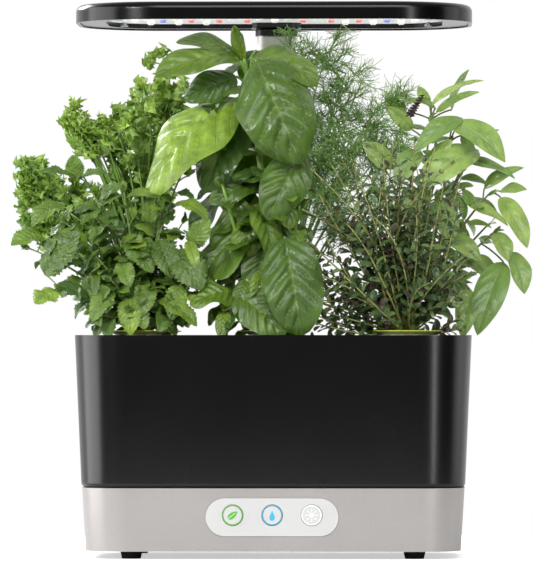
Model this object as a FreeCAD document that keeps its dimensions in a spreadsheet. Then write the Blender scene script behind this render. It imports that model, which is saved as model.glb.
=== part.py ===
import FreeCAD, Part
import math
import os
import re
import Sketcher

# Countertop hydroponic garden: a base with pump and controls, a lift-off water bowl with a grow
# deck and six seed pods, and a lamp hood on a two-stage telescoping mast.
# Millimetres. +X is the viewer's right, +Y is the back, +Z is up. The origin lies on the
# counter, under the middle of the bowl. The pose is the one in use: mast half extended.

SIZES = {
    # base
    "foot_height": 5.1,
    "seam_level": 47.3,
    "base_width": 256.3,
    "base_depth": 141.3,
    "base_corner": 30.0,
    "base_draft": 3.39,
    "base_wall": 2.5,
    "plate_inset": 0.5,
    "plate_thickness": 2.0,
    "plate_gap": 0.3,
    "tray_width": 101.0,
    "tray_depth": 66.0,
    "tray_drop": 1.5,
    "foot_top_width": 15.2,
    "foot_draft": 13.0,
    "foot_spigot": 6.0,
    "foot_column": 94.6,
    "foot_row": 50.0,
    "boss_column": 78.0,
    "boss_row": 42.0,
    "boss_width": 8.0,
    "screw_width": 3.0,
    "screw_head": 5.6,
    "screw_head_height": 1.2,
    "screw_grip": 11.0,
    "screw_gap": 0.1,
    "vent_length": 26.0,
    "vent_width": 2.4,
    "vent_pitch": 6.0,
    "vent_count": 7,
    # control panel
    "panel_level": 28.0,
    "panel_width": 88.7,
    "panel_height": 25.6,
    "panel_recess": 1.2,
    "panel_gap": 0.2,
    "panel_proud": 0.2,
    "button_width": 13.8,
    "button_pitch": 26.3,
    "button_lift": 1.5,
    "button_gap": 0.3,
    "button_proud": 0.6,
    "button_travel": 0.8,
    "button_flange": 1.4,
    "button_stem": 4.0,
    "switch_size": 6.0,
    "switch_height": 3.4,
    "plunger_width": 3.2,
    "plunger_height": 1.2,
    "board_thickness": 1.6,
    "board_width": 84.0,
    "board_height": 22.0,
    "board_back": 10.5,
    "main_board_width": 92.0,
    "main_board_depth": 56.0,
    "main_board_x": -62.0,
    "main_board_rise": 6.0,
    # power inlet
    "jack_x": -62.0,
    "jack_level": 22.0,
    "jack_body": 11.0,
    "jack_length": 13.0,
    "jack_bore": 6.3,
    "jack_pin": 2.0,
    # bowl
    "seam_gap": 0.3,
    "rim_level": 149.3,
    "rim_width": 266.0,
    "rim_depth": 151.0,
    "rim_corner": 34.0,
    "bowl_draft": 2.53,
    "bowl_wall": 3.0,
    "bowl_floor": 2.6,
    "bowl_edge": 3.0,
    "rebate_wall": 1.5,
    "deck_drop": 1.0,
    "deck_thickness": 2.4,
    "deck_gap": 0.4,
    "skirt_height": 9.0,
    "skirt_wall": 2.0,
    # pump
    "pump_x": 66.0,
    "pump_y": 16.0,
    "well_depth": 13.0,
    "well_bore": 21.0,
    "well_wall": 1.8,
    "coil_gap": 0.6,
    "coil_wall": 7.0,
    "coil_height": 9.0,
    "shaft_width": 2.0,
    "shaft_gap": 0.05,
    "rotor_width": 18.6,
    "rotor_height": 9.0,
    "rotor_lift": 0.6,
    "vane_height": 5.0,
    "vane_thickness": 1.4,
    "vane_count": 6,
    "cover_width": 34.0,
    "cover_height": 11.0,
    "cover_wall": 1.8,
    "filter_width": 44.0,
    "filter_height": 9.0,
    "riser_x": 43.0,
    "riser_width": 8.0,
    "riser_bore": 5.0,
    # float
    "float_x": -44.5,
    "float_y": 18.0,
    "post_width": 6.0,
    "float_gap": 0.5,
    "float_width": 24.0,
    "float_height": 14.0,
    "float_travel": 58.0,
    "sensor_length": 14.0,
    "sensor_width": 3.0,
    # pods
    "pod_column": 89.0,
    "pod_row": 38.0,
    "middle_row": 12.4,
    "pod_hole": 36.0,
    "basket_gap": 0.5,
    "basket_depth": 58.0,
    "basket_tip": 26.0,
    "basket_wall": 1.2,
    "basket_lip": 3.0,
    "basket_lip_height": 1.2,
    "sponge_gap": 0.4,
    "sponge_depth": 46.0,
    "label_width": 48.6,
    "label_hole": 13.0,
    "label_thickness": 0.5,
    "label_curl": 2.4,
    # fill port
    "port_x": 46.0,
    "port_y": -38.0,
    "port_width": 34.0,
    "port_length": 28.0,
    "port_ledge": 1.6,
    "lid_thickness": 1.8,
    "lid_gap": 0.4,
    "knuckle_width": 3.2,
    "pin_width": 2.0,
    "pin_length": 2.0,
    "pin_gap": 0.1,
    # mast
    "mast_y": 54.0,
    "tube_width": 26.0,
    "tube_depth": 18.0,
    "tube_corner": 6.0,
    "tube_wall": 1.5,
    "tube_top": 354.4,
    "tube_bottom": 72.6,
    "slide_gap": 0.2,
    "tower_wall": 2.0,
    "tower_top": 152.0,
    "tower_back": 4.6,
    "notch_gap": 0.6,
    "tower_foot": 11.0,
    "tower_foot_height": 6.0,
    "collar_width": 29.0,
    "collar_depth": 21.0,
    "collar_height": 4.7,
    "collar_sleeve": 8.0,
    "glide_height": 12.0,
    "inner_width": 20.0,
    "inner_depth": 12.0,
    "inner_corner": 3.5,
    "inner_wall": 1.5,
    "stop_height": 20.0,
    "upper_travel": 71.0,
    "lead_width": 5.0,
    # hood
    "hood_level": 359.4,
    "hood_width": 267.0,
    "hood_depth": 152.0,
    "hood_height": 11.9,
    "hood_corner": 57.0,
    "hood_edge": 4.5,
    "hood_wall": 2.5,
    "bezel_width": 15.0,
    "bezel_lift": 0.8,
    "panel_lift": 3.9,
    "hood_boss": 7.0,
    "hood_screw_x": 104.0,
    "hood_screw_y": 62.0,
    "hood_screw_length": 6.4,
    "flange_width": 34.0,
    "flange_depth": 25.0,
    "flange_screw": 14.0,
    "slot_length": 22.0,
    "slot_width": 2.2,
    "slot_pitch": 6.5,
    "slot_count": 9,
    "led_width": 5.0,
    "led_height": 2.0,
    "led_chamfer": 0.9,
    "led_pitch": 19.0,
    "led_front_row": -46.0,
    "led_row_pitch": 27.0,
    "driver_width": 46.0,
    "driver_depth": 26.0,
    "driver_height": 2.6,
    # plants
    "stem_width": 9.0,
    "leaf_reach": 175.0,
    "parsley_top": 306.0,
    "mint_top": 286.0,
    "basil_top": 355.0,
    "dill_top": 350.0,
    "lemon_basil_top": 323.0,
    "thyme_top": 283.0,
}

doc = FreeCAD.newDocument("hydroponic_garden")
sheet = doc.addObject("Spreadsheet::Sheet", "Sizes")
for row, (alias, number) in enumerate(SIZES.items(), start=1):
    sheet.set("A%d" % row, alias)
    sheet.set("B%d" % row, str(number))
    sheet.setAlias("B%d" % row, alias)
doc.recompute()

WORD = re.compile(r"[a-z][a-z_]*[a-z]")
PIECES = []


def bound(formula):
    """The formula with every size in it written as a reference to its cell."""
    return WORD.sub(lambda m: "Sizes." + m.group() if m.group() in SIZES else m.group(), formula)


def number(formula):
    """The present value of a formula."""
    found = sheet.evalExpression(bound(formula))
    return float(getattr(found, "Value", found))


def put(thing, place, turn=None):
    """Place an object at three formulas, turned by a formula in degrees about an axis."""
    if turn:
        axis, angle = turn
        thing.Placement = FreeCAD.Placement(FreeCAD.Vector(), FreeCAD.Rotation(axis, number(angle)))
        thing.setExpression("Placement.Rotation.Angle", bound(angle))
    for axis_name, formula in zip("xyz", place):
        thing.setExpression("Placement.Base." + axis_name, bound(formula))


def keep(thing, label):
    """Name a finished sub-part and list it for export."""
    thing.Label = label
    PIECES.append(thing)
    return thing


def new_body(label, place=("0", "0", "0"), turn=None):
    """An empty body with its own place, listed for export."""
    body = doc.addObject("PartDesign::Body", label)
    put(body, place, turn)
    return keep(body, label)


def new_sketch(body, name, at, role="XY_Plane", tilt=None):
    """A sketch on one of the body's own planes, moved by three formulas and tilted if asked."""
    sketch = body.newObject("Sketcher::SketchObject", name)
    plane = [f for f in body.Origin.OriginFeatures if f.Role == role][0]
    sketch.AttachmentSupport = [(plane, "")]
    sketch.MapMode = "FlatFace"
    if tilt:
        axis, angle = tilt
        turn = FreeCAD.Rotation(axis, number(angle))
        sketch.AttachmentOffset = FreeCAD.Placement(FreeCAD.Vector(), turn)
        sketch.setExpression("AttachmentOffset.Rotation.Angle", bound(angle))
    for axis_name, formula in zip("xyz", at):
        sketch.setExpression("AttachmentOffset.Base." + axis_name, bound(formula))
    return sketch


def constrain(sketch, name, constraint, formula):
    """Add a named constraint driven by a formula."""
    index = sketch.addConstraint(constraint)
    sketch.renameConstraint(index, name)
    sketch.setExpression("Constraints." + name, bound(formula))


def rounded_rect(body, name, at, width, depth, corner, role="XY_Plane", tilt=None):
    """A rectangle with round corners, centred on the sketch's origin."""
    sketch = new_sketch(body, name, at, role, tilt)
    w, d, r = number(width) / 2, number(depth) / 2, number(corner)
    vec = FreeCAD.Vector
    ends = [(vec(-w + r, -d), vec(w - r, -d)), (vec(w, -d + r), vec(w, d - r)),
            (vec(w - r, d), vec(-w + r, d)), (vec(-w, d - r), vec(-w, -d + r))]
    centres = [vec(w - r, -d + r), vec(w - r, d - r), vec(-w + r, d - r), vec(-w + r, -d + r)]
    for side in range(4):
        sketch.addGeometry(Part.LineSegment(*ends[side]), False)
        arc = Part.Circle(centres[side], vec(0, 0, 1), r)
        start = math.radians(90 * side - 90)
        sketch.addGeometry(Part.ArcOfCircle(arc, start, start + math.pi / 2), False)
    for side in range(4):
        sketch.addConstraint(Sketcher.Constraint("Tangent", 2 * side, 2, 2 * side + 1, 1))
        sketch.addConstraint(Sketcher.Constraint("Tangent", 2 * side + 1, 2, (2 * side + 2) % 8, 1))
    for side in (1, 2, 3):
        sketch.addConstraint(Sketcher.Constraint("Equal", 1, 2 * side + 1))
    sketch.addConstraint(Sketcher.Constraint("Horizontal", 4))
    sketch.addConstraint(Sketcher.Constraint("Vertical", 6))
    sketch.addConstraint(Sketcher.Constraint("Symmetric", 0, 1, 0, 2, -2))
    sketch.addConstraint(Sketcher.Constraint("Symmetric", 2, 1, 2, 2, -1))
    constrain(sketch, "width", Sketcher.Constraint("DistanceX", 6, 1, 2, 1, 2 * w), width)
    constrain(sketch, "depth", Sketcher.Constraint("DistanceY", 0, 1, 4, 1, 2 * d), depth)
    constrain(sketch, "corner", Sketcher.Constraint("Radius", 1, r), corner)
    return sketch


def polygon(body, name, at, points, role="XY_Plane", tilt=None):
    """A closed outline of straight sides through points given as pairs of formulas."""
    sketch = new_sketch(body, name, at, role, tilt)
    spots = [FreeCAD.Vector(number(x), number(y)) for x, y in points]
    count = len(spots)
    for i in range(count):
        sketch.addGeometry(Part.LineSegment(spots[i], spots[(i + 1) % count]), False)
    for i in range(count):
        sketch.addConstraint(Sketcher.Constraint("Coincident", i, 2, (i + 1) % count, 1))
    for i, (x, y) in enumerate(points):
        for kind, axis, formula, here in (("DistanceX", "x", x, spots[i].x), ("DistanceY", "y", y, spots[i].y)):
            constrain(sketch, "%s%d" % (axis, i), Sketcher.Constraint(kind, -1, 1, i, 1, here), formula)
    return sketch


def rect(body, name, at, width, depth, role="XY_Plane", tilt=None):
    """A plain rectangle centred on the sketch's origin."""
    w, d = "(%s) / 2" % width, "(%s) / 2" % depth
    points = [("-" + w, "-" + d), (w, "-" + d), (w, d), ("-" + w, d)]
    return polygon(body, name, at, points, role, tilt)


def circles(body, name, at, diameter, centres=(("0", "0"),), role="XY_Plane", tilt=None):
    """Equal circles at the given centres."""
    sketch = new_sketch(body, name, at, role, tilt)
    for i, (x, y) in enumerate(centres):
        spot = FreeCAD.Vector(number(x), number(y))
        sketch.addGeometry(Part.Circle(spot, FreeCAD.Vector(0, 0, 1), number(diameter) / 2), False)
        for kind, axis, formula, here in (("DistanceX", "x", x, spot.x), ("DistanceY", "y", y, spot.y)):
            constrain(sketch, "%s%d" % (axis, i), Sketcher.Constraint(kind, -1, 1, i, 3, here), formula)
    constrain(sketch, "diameter", Sketcher.Constraint("Diameter", 0, number(diameter)), diameter)
    for i in range(1, len(centres)):
        sketch.addConstraint(Sketcher.Constraint("Equal", 0, i))
    return sketch


def pad(body, sketch, length, taper=None, down=False):
    """Grow a sketch into a solid, upwards unless told otherwise."""
    feature = body.newObject("PartDesign::Pad", sketch.Name + "_pad")
    feature.Profile = sketch
    feature.Length = number(length)
    feature.setExpression("Length", bound(length))
    if taper:
        feature.TaperAngle = number(taper)
        feature.setExpression("TaperAngle", bound(taper))
    feature.Reversed = down
    return finish(feature)


def pocket(body, sketch, length=None, taper=None, up=False):
    """Cut a sketch out of the body, downwards unless told otherwise, or right through."""
    feature = body.newObject("PartDesign::Pocket", sketch.Name + "_pocket")
    feature.Profile = sketch
    before = body.Shape.Volume
    if length:
        feature.Length = number(length)
        feature.setExpression("Length", bound(length))
    else:
        feature.SideType = "Symmetric"
        feature.Type = "ThroughAll"
    if taper:
        feature.TaperAngle = number(taper)
        feature.setExpression("TaperAngle", bound(taper))
    feature.Reversed = up
    finish(feature)
    if not feature.Shape.Volume < before - 1e-3:
        raise ValueError(feature.Name + " cuts nothing")
    return feature


def revolve(body, sketch):
    """Turn a sketch on the XZ plane once round the body's Z axis."""
    feature = body.newObject("PartDesign::Revolution", sketch.Name + "_turn")
    feature.Profile = sketch
    feature.ReferenceAxis = (sketch, ["V_Axis"])
    feature.Angle = 360
    return finish(feature)


def loft(body, first, second):
    """A ruled body between two sketches of equal make."""
    feature = body.newObject("PartDesign::AdditiveLoft", first.Name + "_loft")
    feature.Profile = first
    feature.Sections = [second]
    feature.Ruled = True
    return finish(feature)


def edges_where(feature, test):
    """The names of the edges whose bounding boxes pass a test."""
    shape = feature.Shape
    return ["Edge%d" % (i + 1) for i, edge in enumerate(shape.Edges) if test(edge.BoundBox)]


def at_level(formula):
    """A test for edges that lie flat at one height."""
    level = number(formula)
    return lambda box: abs(box.ZMin - level) < 1e-4 and abs(box.ZMax - level) < 1e-4


def dress(body, kind, base, edges, size):
    """A fillet or chamfer of one size on some edges of a feature."""
    feature = body.newObject("PartDesign::" + kind, base.Name + "_" + kind.lower())
    feature.Base = (base, edges)
    name = "Radius" if kind == "Fillet" else "Size"
    setattr(feature, name, number(size))
    feature.setExpression(name, bound(size))
    return finish(feature)


def row_of(body, base, count, pitch, axis="H_Axis"):
    """Repeat a cut or pad along one axis of its own sketch, centred by the sketch's place."""
    feature = body.newObject("PartDesign::LinearPattern", base.Name + "_row")
    feature.Originals = [base]
    feature.Direction = (base.Profile[0], [axis])
    feature.Mode = "Spacing"
    feature.Offset = number(pitch)
    feature.setExpression("Offset", bound(pitch))
    feature.Occurrences = int(number(count))
    feature.setExpression("Occurrences", bound(count))
    body.Tip = feature
    return finish(feature)


def ring_of(body, base, count):
    """Repeat a feature round the body's Z axis."""
    feature = body.newObject("PartDesign::PolarPattern", base.Name + "_ring")
    feature.Originals = [base]
    feature.Axis = (base.Profile[0], ["N_Axis"])
    feature.Angle = 360
    feature.Occurrences = int(number(count))
    feature.setExpression("Occurrences", bound(count))
    body.Tip = feature
    return finish(feature)


def finish(feature):
    """Recompute and stop on a feature that failed."""
    doc.recompute()
    if "Invalid" in feature.State or "Error" in feature.State or feature.Shape.isNull():
        raise ValueError("%s failed: %s" % (feature.Name, feature.State))
    return feature


def cylinder(name, width, height, place, turn=None):
    """A round bar along its own Z, standing on its place."""
    bar = doc.addObject("Part::Cylinder", name)
    bar.setExpression("Radius", bound("(%s) / 2" % width))
    bar.setExpression("Height", bound(height))
    put(bar, place, turn)
    return bar


def block(name, width, depth, height, place, turn=None):
    """A box standing on its place, which is the middle of its underside."""
    box = doc.addObject("Part::Box", name)
    for prop, formula in (("Length", width), ("Width", depth), ("Height", height)):
        box.setExpression(prop, bound(formula))
    x, y, z = place
    put(box, ("%s - (%s) / 2" % (x, width), "%s - (%s) / 2" % (y, depth), z), turn)
    return box


def joined(name, shapes):
    """One solid from several that touch or cross."""
    whole = doc.addObject("Part::MultiFuse", name)
    whole.Shapes = shapes
    whole.Refine = True
    return whole


def less(name, base, tool):
    """A solid with another cut out of it."""
    cut = doc.addObject("Part::Cut", name)
    cut.Base = base
    cut.Tool = tool
    return cut


def group(label, solids):
    """Separate like solids kept as one sub-part."""
    bunch = doc.addObject("Part::Compound", label)
    bunch.Links = solids
    return keep(bunch, label)


def corners_of(x, y):
    """The four places that lie x and y to each side of the middle."""
    return [("%s(%s)" % (sx, x), "%s(%s)" % (sy, y)) for sx in ("-", "") for sy in ("-", "")]


X_AXIS = FreeCAD.Vector(1, 0, 0)
PLATE_LOW = "foot_height + plate_inset"
PLATE_TOP = "foot_height + plate_inset + plate_thickness"
CASE_RISE = "(seam_level - foot_height)"
SLOPE = "tan(base_draft)"
FACE_Y = "(-base_depth / 2 + (seam_level - panel_level) * %s)" % SLOPE
PANEL_TURN = (X_AXIS, "90 + base_draft")
PANEL_PLACE = ("0", FACE_Y, "panel_level")
TOWER_WIDTH = "(tube_width + 2 * slide_gap + 2 * tower_wall)"
TOWER_DEPTH = "(tube_depth + 2 * slide_gap + 2 * tower_wall)"
TOWER_CORNER = "(tube_corner + slide_gap + tower_wall)"
NOTCH_WIDTH = "(%s + 2 * notch_gap)" % TOWER_WIDTH
NOTCH_FRONT = "(mast_y - %s / 2 - notch_gap)" % TOWER_DEPTH
BOWL_LOW = "(seam_level + seam_gap)"
FLOOR_TOP = "(seam_level + seam_gap + bowl_floor)"
BOWL_RISE = "(rim_level - seam_level - seam_gap)"
DECK_TOP = "(rim_level - deck_drop)"
DECK_LOW = "(rim_level - deck_drop - deck_thickness)"
WELL_OUT = "(well_bore + 2 * well_wall)"
WELL_FLOOR = "(seam_level + seam_gap + bowl_floor - well_depth)"
PODS = (("parsley", "-pod_column", "pod_row"), ("mint", "-pod_column", "-pod_row"),
        ("basil", "0", "-pod_row"), ("dill", "0", "middle_row"),
        ("lemon_basil", "pod_column", "pod_row"), ("thyme", "pod_column", "-pod_row"))


def panel_spot(x, y, z):
    """A place on the sloping front face: across, up the face and out of it."""
    up = "(%s)" % y
    out = "(%s)" % z
    return (x, "%s - %s * sin(base_draft) - %s * cos(base_draft)" % (FACE_Y, up, out),
            "panel_level + %s * cos(base_draft) - %s * sin(base_draft)" % (up, out))


def base_shell():
    body = new_body("base_shell")
    narrow = "2 * %s * %s" % (CASE_RISE, SLOPE)
    low = ("0", "0", "foot_height")
    outer = rounded_rect(body, "case_outline", low, "base_width - " + narrow,
                         "base_depth - " + narrow, "base_corner - %s * %s" % (CASE_RISE, SLOPE))
    pad(body, outer, CASE_RISE, "base_draft")
    inner = rounded_rect(body, "case_hollow", low, "base_width - 2 * base_wall - " + narrow,
                         "base_depth - 2 * base_wall - " + narrow,
                         "base_corner - base_wall - %s * %s" % (CASE_RISE, SLOPE))
    pocket(body, inner, CASE_RISE + " - base_wall", "base_draft", up=True)
    posts = circles(body, "case_posts", ("0", "0", PLATE_TOP), "boss_width",
                    corners_of("boss_column", "boss_row"))
    pad(body, posts, "seam_level - base_wall / 2 - (%s)" % PLATE_TOP)
    pilots = circles(body, "case_pilots", ("0", "0", PLATE_TOP), "screw_width + 2 * screw_gap",
                     corners_of("boss_column", "boss_row"))
    pocket(body, pilots, "screw_grip + 2", up=True)
    tower = rounded_rect(body, "case_tower_hole", ("0", "mast_y", "seam_level"),
                         TOWER_WIDTH + " + 2 * plate_gap", TOWER_DEPTH + " + 2 * plate_gap",
                         TOWER_CORNER + " + plate_gap")
    pocket(body, tower, "base_wall + 1")
    well = circles(body, "case_well_hole", ("pump_x", "pump_y", "seam_level"), WELL_OUT + " + 1.2")
    pocket(body, well, "base_wall + 1")
    recess = rounded_rect(body, "case_panel_seat", PANEL_PLACE, "panel_width + 2 * panel_gap",
                          "panel_height + 2 * panel_gap", "panel_height / 2 + panel_gap - 0.01",
                          tilt=PANEL_TURN)
    pocket(body, recess, "panel_recess")
    bores = [("-button_pitch", "button_lift"), ("0", "button_lift"), ("button_pitch", "button_lift")]
    holes = circles(body, "case_button_holes", PANEL_PLACE, "button_width + 2 * button_gap", bores,
                    tilt=PANEL_TURN)
    pocket(body, holes, "base_wall + 3")
    spots = corners_of("board_width / 2 - 4", "board_height / 2 - 4")
    board = panel_spot("0", "0", "-board_back")
    stands = circles(body, "case_board_posts", board, "5", spots, tilt=PANEL_TURN)
    pad(body, stands, "board_back - base_wall / 2")
    stakes = circles(body, "case_board_stakes", board, "2.7", spots, tilt=PANEL_TURN)
    pad(body, stakes, "board_thickness + 0.8", down=True)
    inlet = circles(body, "case_inlet", ("jack_x", "jack_level", "-base_depth / 2 - 1"),
                    "jack_bore + 1.4", role="XZ_Plane")
    return pocket(body, inlet, "base_wall + 8", up=True)


def bottom_plate():
    body = new_body("bottom_plate")
    slope = "%s * %s" % (CASE_RISE, SLOPE)
    edge = "base_wall + plate_gap + %s" % slope
    outline = rounded_rect(body, "plate_outline", ("0", "0", PLATE_LOW), "base_width - 2 * (%s)" % edge,
                           "base_depth - 2 * (%s)" % edge, "base_corner - (%s)" % edge)
    pad(body, outline, "plate_thickness")
    tray = rounded_rect(body, "plate_tray", ("0", "0", PLATE_LOW), "tray_width", "tray_depth", "6")
    pad(body, tray, "tray_drop", down=True)
    hollow = rounded_rect(body, "plate_tray_hollow", ("0", "0", PLATE_TOP),
                          "tray_width - 2 * plate_thickness", "tray_depth - 2 * plate_thickness", "4")
    pocket(body, hollow, "tray_drop")
    vent = rounded_rect(body, "plate_vent", ("-vent_pitch * (vent_count - 1) / 2", "0", PLATE_TOP),
                        "vent_width", "vent_length", "vent_width / 2 - 0.01")
    first = pocket(body, vent, "plate_thickness + tray_drop + 1")
    row_of(body, first, "vent_count", "vent_pitch")
    places = corners_of("boss_column", "boss_row") + [("-" + WING_X, "mast_y"), (WING_X, "mast_y")]
    holes = circles(body, "plate_screw_holes", ("0", "0", PLATE_TOP), "screw_width + 2 * screw_gap", places)
    pocket(body, holes, "plate_thickness + 1")
    seats = circles(body, "plate_screw_seats", ("0", "0", PLATE_LOW), "screw_head + 2 * screw_gap", places)
    pocket(body, seats, "screw_head_height", up=True)
    spigots = circles(body, "plate_foot_holes", ("0", "0", PLATE_LOW), "foot_spigot + 2 * screw_gap",
                      corners_of("foot_column", "foot_row"))
    return pocket(body, spigots, "plate_thickness - 0.6", up=True)


def rubber_feet():
    body = new_body("rubber_feet")
    body.AllowCompound = True
    places = corners_of("foot_column", "foot_row")
    narrow = "foot_top_width - 2 * (%s) * tan(foot_draft)" % PLATE_LOW
    feet = circles(body, "feet_outline", ("0", "0", "0"), narrow, places)
    pad(body, feet, PLATE_LOW, "foot_draft")
    spigots = circles(body, "feet_spigots", ("0", "0", PLATE_LOW), "foot_spigot", places)
    return pad(body, spigots, "plate_thickness - 0.8")


def case_screws():
    places = corners_of("boss_column", "boss_row") + [("-" + WING_X, "mast_y"), (WING_X, "mast_y")]
    screws = []
    for i, (x, y) in enumerate(places):
        grip = "screw_grip" if i < 4 else "plate_thickness + tower_foot_height - 1.5"
        head = cylinder("case_screw_head_%d" % i, "screw_head", "screw_head_height", (x, y, PLATE_LOW))
        shank = cylinder("case_screw_shank_%d" % i, "screw_width", grip, (x, y, PLATE_LOW))
        screws.append(joined("case_screw_%d" % i, [head, shank]))
    return group("case_screws", screws)


def control_overlay():
    body = new_body("control_overlay", panel_spot("0", "0", "-panel_recess"), PANEL_TURN)
    outline = rounded_rect(body, "overlay_outline", ("0", "0", "0"), "panel_width", "panel_height",
                           "panel_height / 2 - 0.01")
    plate = pad(body, outline, "panel_recess + panel_proud")
    dress(body, "Chamfer", plate, edges_where(plate, at_level("panel_recess + panel_proud")), "0.3")
    bores = [("-button_pitch", "button_lift"), ("0", "button_lift"), ("button_pitch", "button_lift")]
    holes = circles(body, "overlay_holes", ("0", "0", "panel_recess + panel_proud"),
                    "button_width + 2 * button_gap", bores)
    return pocket(body, holes)


def button(label, x):
    body = new_body(label, panel_spot(x, "button_lift", "0"), PANEL_TURN)
    cap = circles(body, label + "_cap", ("0", "0", "panel_proud + button_proud"), "button_width")
    disc = pad(body, cap, "panel_proud + button_proud + base_wall + 0.1", down=True)
    face = at_level("panel_proud + button_proud")
    dress(body, "Fillet", disc, edges_where(disc, face), "0.4")
    flange = circles(body, label + "_flange", ("0", "0", "-base_wall - 0.1"), "button_width + button_flange * 2")
    pad(body, flange, "button_flange", down=True)
    stem = circles(body, label + "_stem", ("0", "0", "-base_wall - 0.1 - button_flange"), "button_stem")
    gap = "board_back - switch_height - plunger_height - base_wall - 0.1 - button_flange"
    return pad(body, stem, gap + " - button_travel - 0.05", down=True)


def water_lens():
    body = new_body("water_lens", panel_spot("0", "button_lift", "0"), PANEL_TURN)
    face = circles(body, "lens_face", ("0", "0", "panel_proud + 0.3"), "button_width")
    disc = pad(body, face, "panel_proud + 0.3 + base_wall", down=True)
    dress(body, "Fillet", disc, edges_where(disc, at_level("panel_proud + 0.3")), "0.3")
    flange = circles(body, "lens_flange", ("0", "0", "-base_wall - 0.1"), "button_width + 3")
    return pad(body, flange, "1.2", down=True)


def switch_board():
    body = new_body("switch_board", panel_spot("0", "0", "-board_back - board_thickness"), PANEL_TURN)
    outline = rounded_rect(body, "switch_board_outline", ("0", "0", "0"), "board_width",
                           "board_height", "2")
    pad(body, outline, "board_thickness")
    holes = circles(body, "switch_board_holes", ("0", "0", "board_thickness"), "3",
                    corners_of("board_width / 2 - 4", "board_height / 2 - 4"))
    return pocket(body, holes)


def tact_switches():
    solids = []
    for i, x in enumerate(("-button_pitch", "button_pitch")):
        case = block("switch_case_%d" % i, "switch_size", "switch_size", "switch_height",
                     ("0", "0", "0"))
        plunger = cylinder("switch_plunger_%d" % i, "plunger_width", "plunger_height",
                           ("0", "0", "switch_height"))
        whole = joined("switch_%d" % i, [case, plunger])
        put(whole, panel_spot(x, "button_lift", "-board_back"), PANEL_TURN)
        solids.append(whole)
    return group("tact_switches", solids)


def indicator_leds():
    solids = []
    for i, x in enumerate(("-button_pitch + 5.5", "0", "button_pitch - 5.5")):
        led = block("indicator_led_%d" % i, "3", "2.6", "1.6", ("0", "0", "0"))
        whole = joined("indicator_%d" % i, [led, cylinder("indicator_dome_%d" % i, "2", "2.2", ("0", "0", "0"))])
        put(whole, panel_spot(x, "button_lift", "-board_back"), PANEL_TURN)
        solids.append(whole)
    return group("indicator_leds", solids)


WING_X = "(%s / 2 + tower_foot / 2)" % TOWER_WIDTH


def main_board():
    body = new_body("main_board")
    level = "%s + main_board_rise" % PLATE_TOP
    at = ("main_board_x", "0", level)
    outline = rounded_rect(body, "main_board_outline", at, "main_board_width", "main_board_depth", "2")
    pad(body, outline, "board_thickness")
    chips = polygon(body, "main_board_chip", ("main_board_x", "0", level + " + board_thickness"),
                    [("-12", "-8"), ("4", "-8"), ("4", "8"), ("-12", "8")])
    pad(body, chips, "1.6")
    feet = circles(body, "main_board_posts", at, "5", corners_of("main_board_width / 2 - 6",
                                                                 "main_board_depth / 2 - 6"))
    pad(body, feet, "main_board_rise", down=True)
    cans = circles(body, "main_board_cans", ("main_board_x", "0", level + " + board_thickness"), "8",
                   (("22", "10"), ("22", "-6"), ("34", "10")))
    return pad(body, cans, "11")


def power_jack():
    rear = "(base_depth / 2 - (seam_level - jack_level) * %s - base_wall - 0.7)" % SLOPE
    body = new_body("power_jack", ("jack_x", rear, "jack_level"))
    face = rounded_rect(body, "jack_outline", ("0", "0", "0"), "jack_body", "jack_body", "1",
                        role="XZ_Plane")
    pad(body, face, "jack_length")
    nose = circles(body, "jack_nose", ("0", "0", "0"), "jack_bore + 0.8", role="XZ_Plane")
    pad(body, nose, "base_wall", down=True)
    bore = circles(body, "jack_bore_cut", ("0", "0", "-base_wall"), "jack_bore", role="XZ_Plane")
    pocket(body, bore, "base_wall + jack_length - 2.5", up=True)
    pin = circles(body, "jack_pin_round", ("0", "0", "jack_length - 3"), "jack_pin", role="XZ_Plane")
    return pad(body, pin, "jack_length - 3", down=True)


def pump_coil():
    body = new_body("pump_coil", ("pump_x", "pump_y", WELL_FLOOR + " - bowl_floor + 0.4"))
    core = WELL_OUT + " / 2 + coil_gap"
    outer = core + " + coil_wall"
    profile = [(core, "0"), (outer + " - 1.5", "0"), (outer + " - 1.5", "1.2"), (outer, "1.2"),
               (outer, "coil_height - 1.2"), (outer + " - 1.5", "coil_height - 1.2"),
               (outer + " - 1.5", "coil_height"), (core, "coil_height")]
    return revolve(body, polygon(body, "coil_profile", ("0", "0", "0"), profile, role="XZ_Plane"))


def coil_bracket():
    low = "%s - bowl_floor + 0.4 - 2" % WELL_FLOOR
    reach = WELL_OUT + " + 2 * coil_gap + 2 * coil_wall"
    body = new_body("coil_bracket", ("pump_x", "pump_y", low))
    outline = rounded_rect(body, "bracket_outline", ("0", "0", "0"), reach + " + 4", "24", "4")
    pad(body, outline, "2")
    legs = [("-(%s) / 2 - 1" % reach, "0"), ("(%s) / 2 + 1" % reach, "0")]
    posts = circles(body, "bracket_posts", ("0", "0", "0"), "5", legs)
    return pad(body, posts, "%s - (%s)" % (low, PLATE_TOP), down=True)


def level_sensor():
    return keep(cylinder("level_sensor", "sensor_width", "sensor_length",
                         ("float_x - sensor_length / 2", "float_y",
                          "seam_level - base_wall - sensor_width / 2 - 0.3"),
                         (FreeCAD.Vector(0, 1, 0), "90")), "level_sensor")


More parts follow.
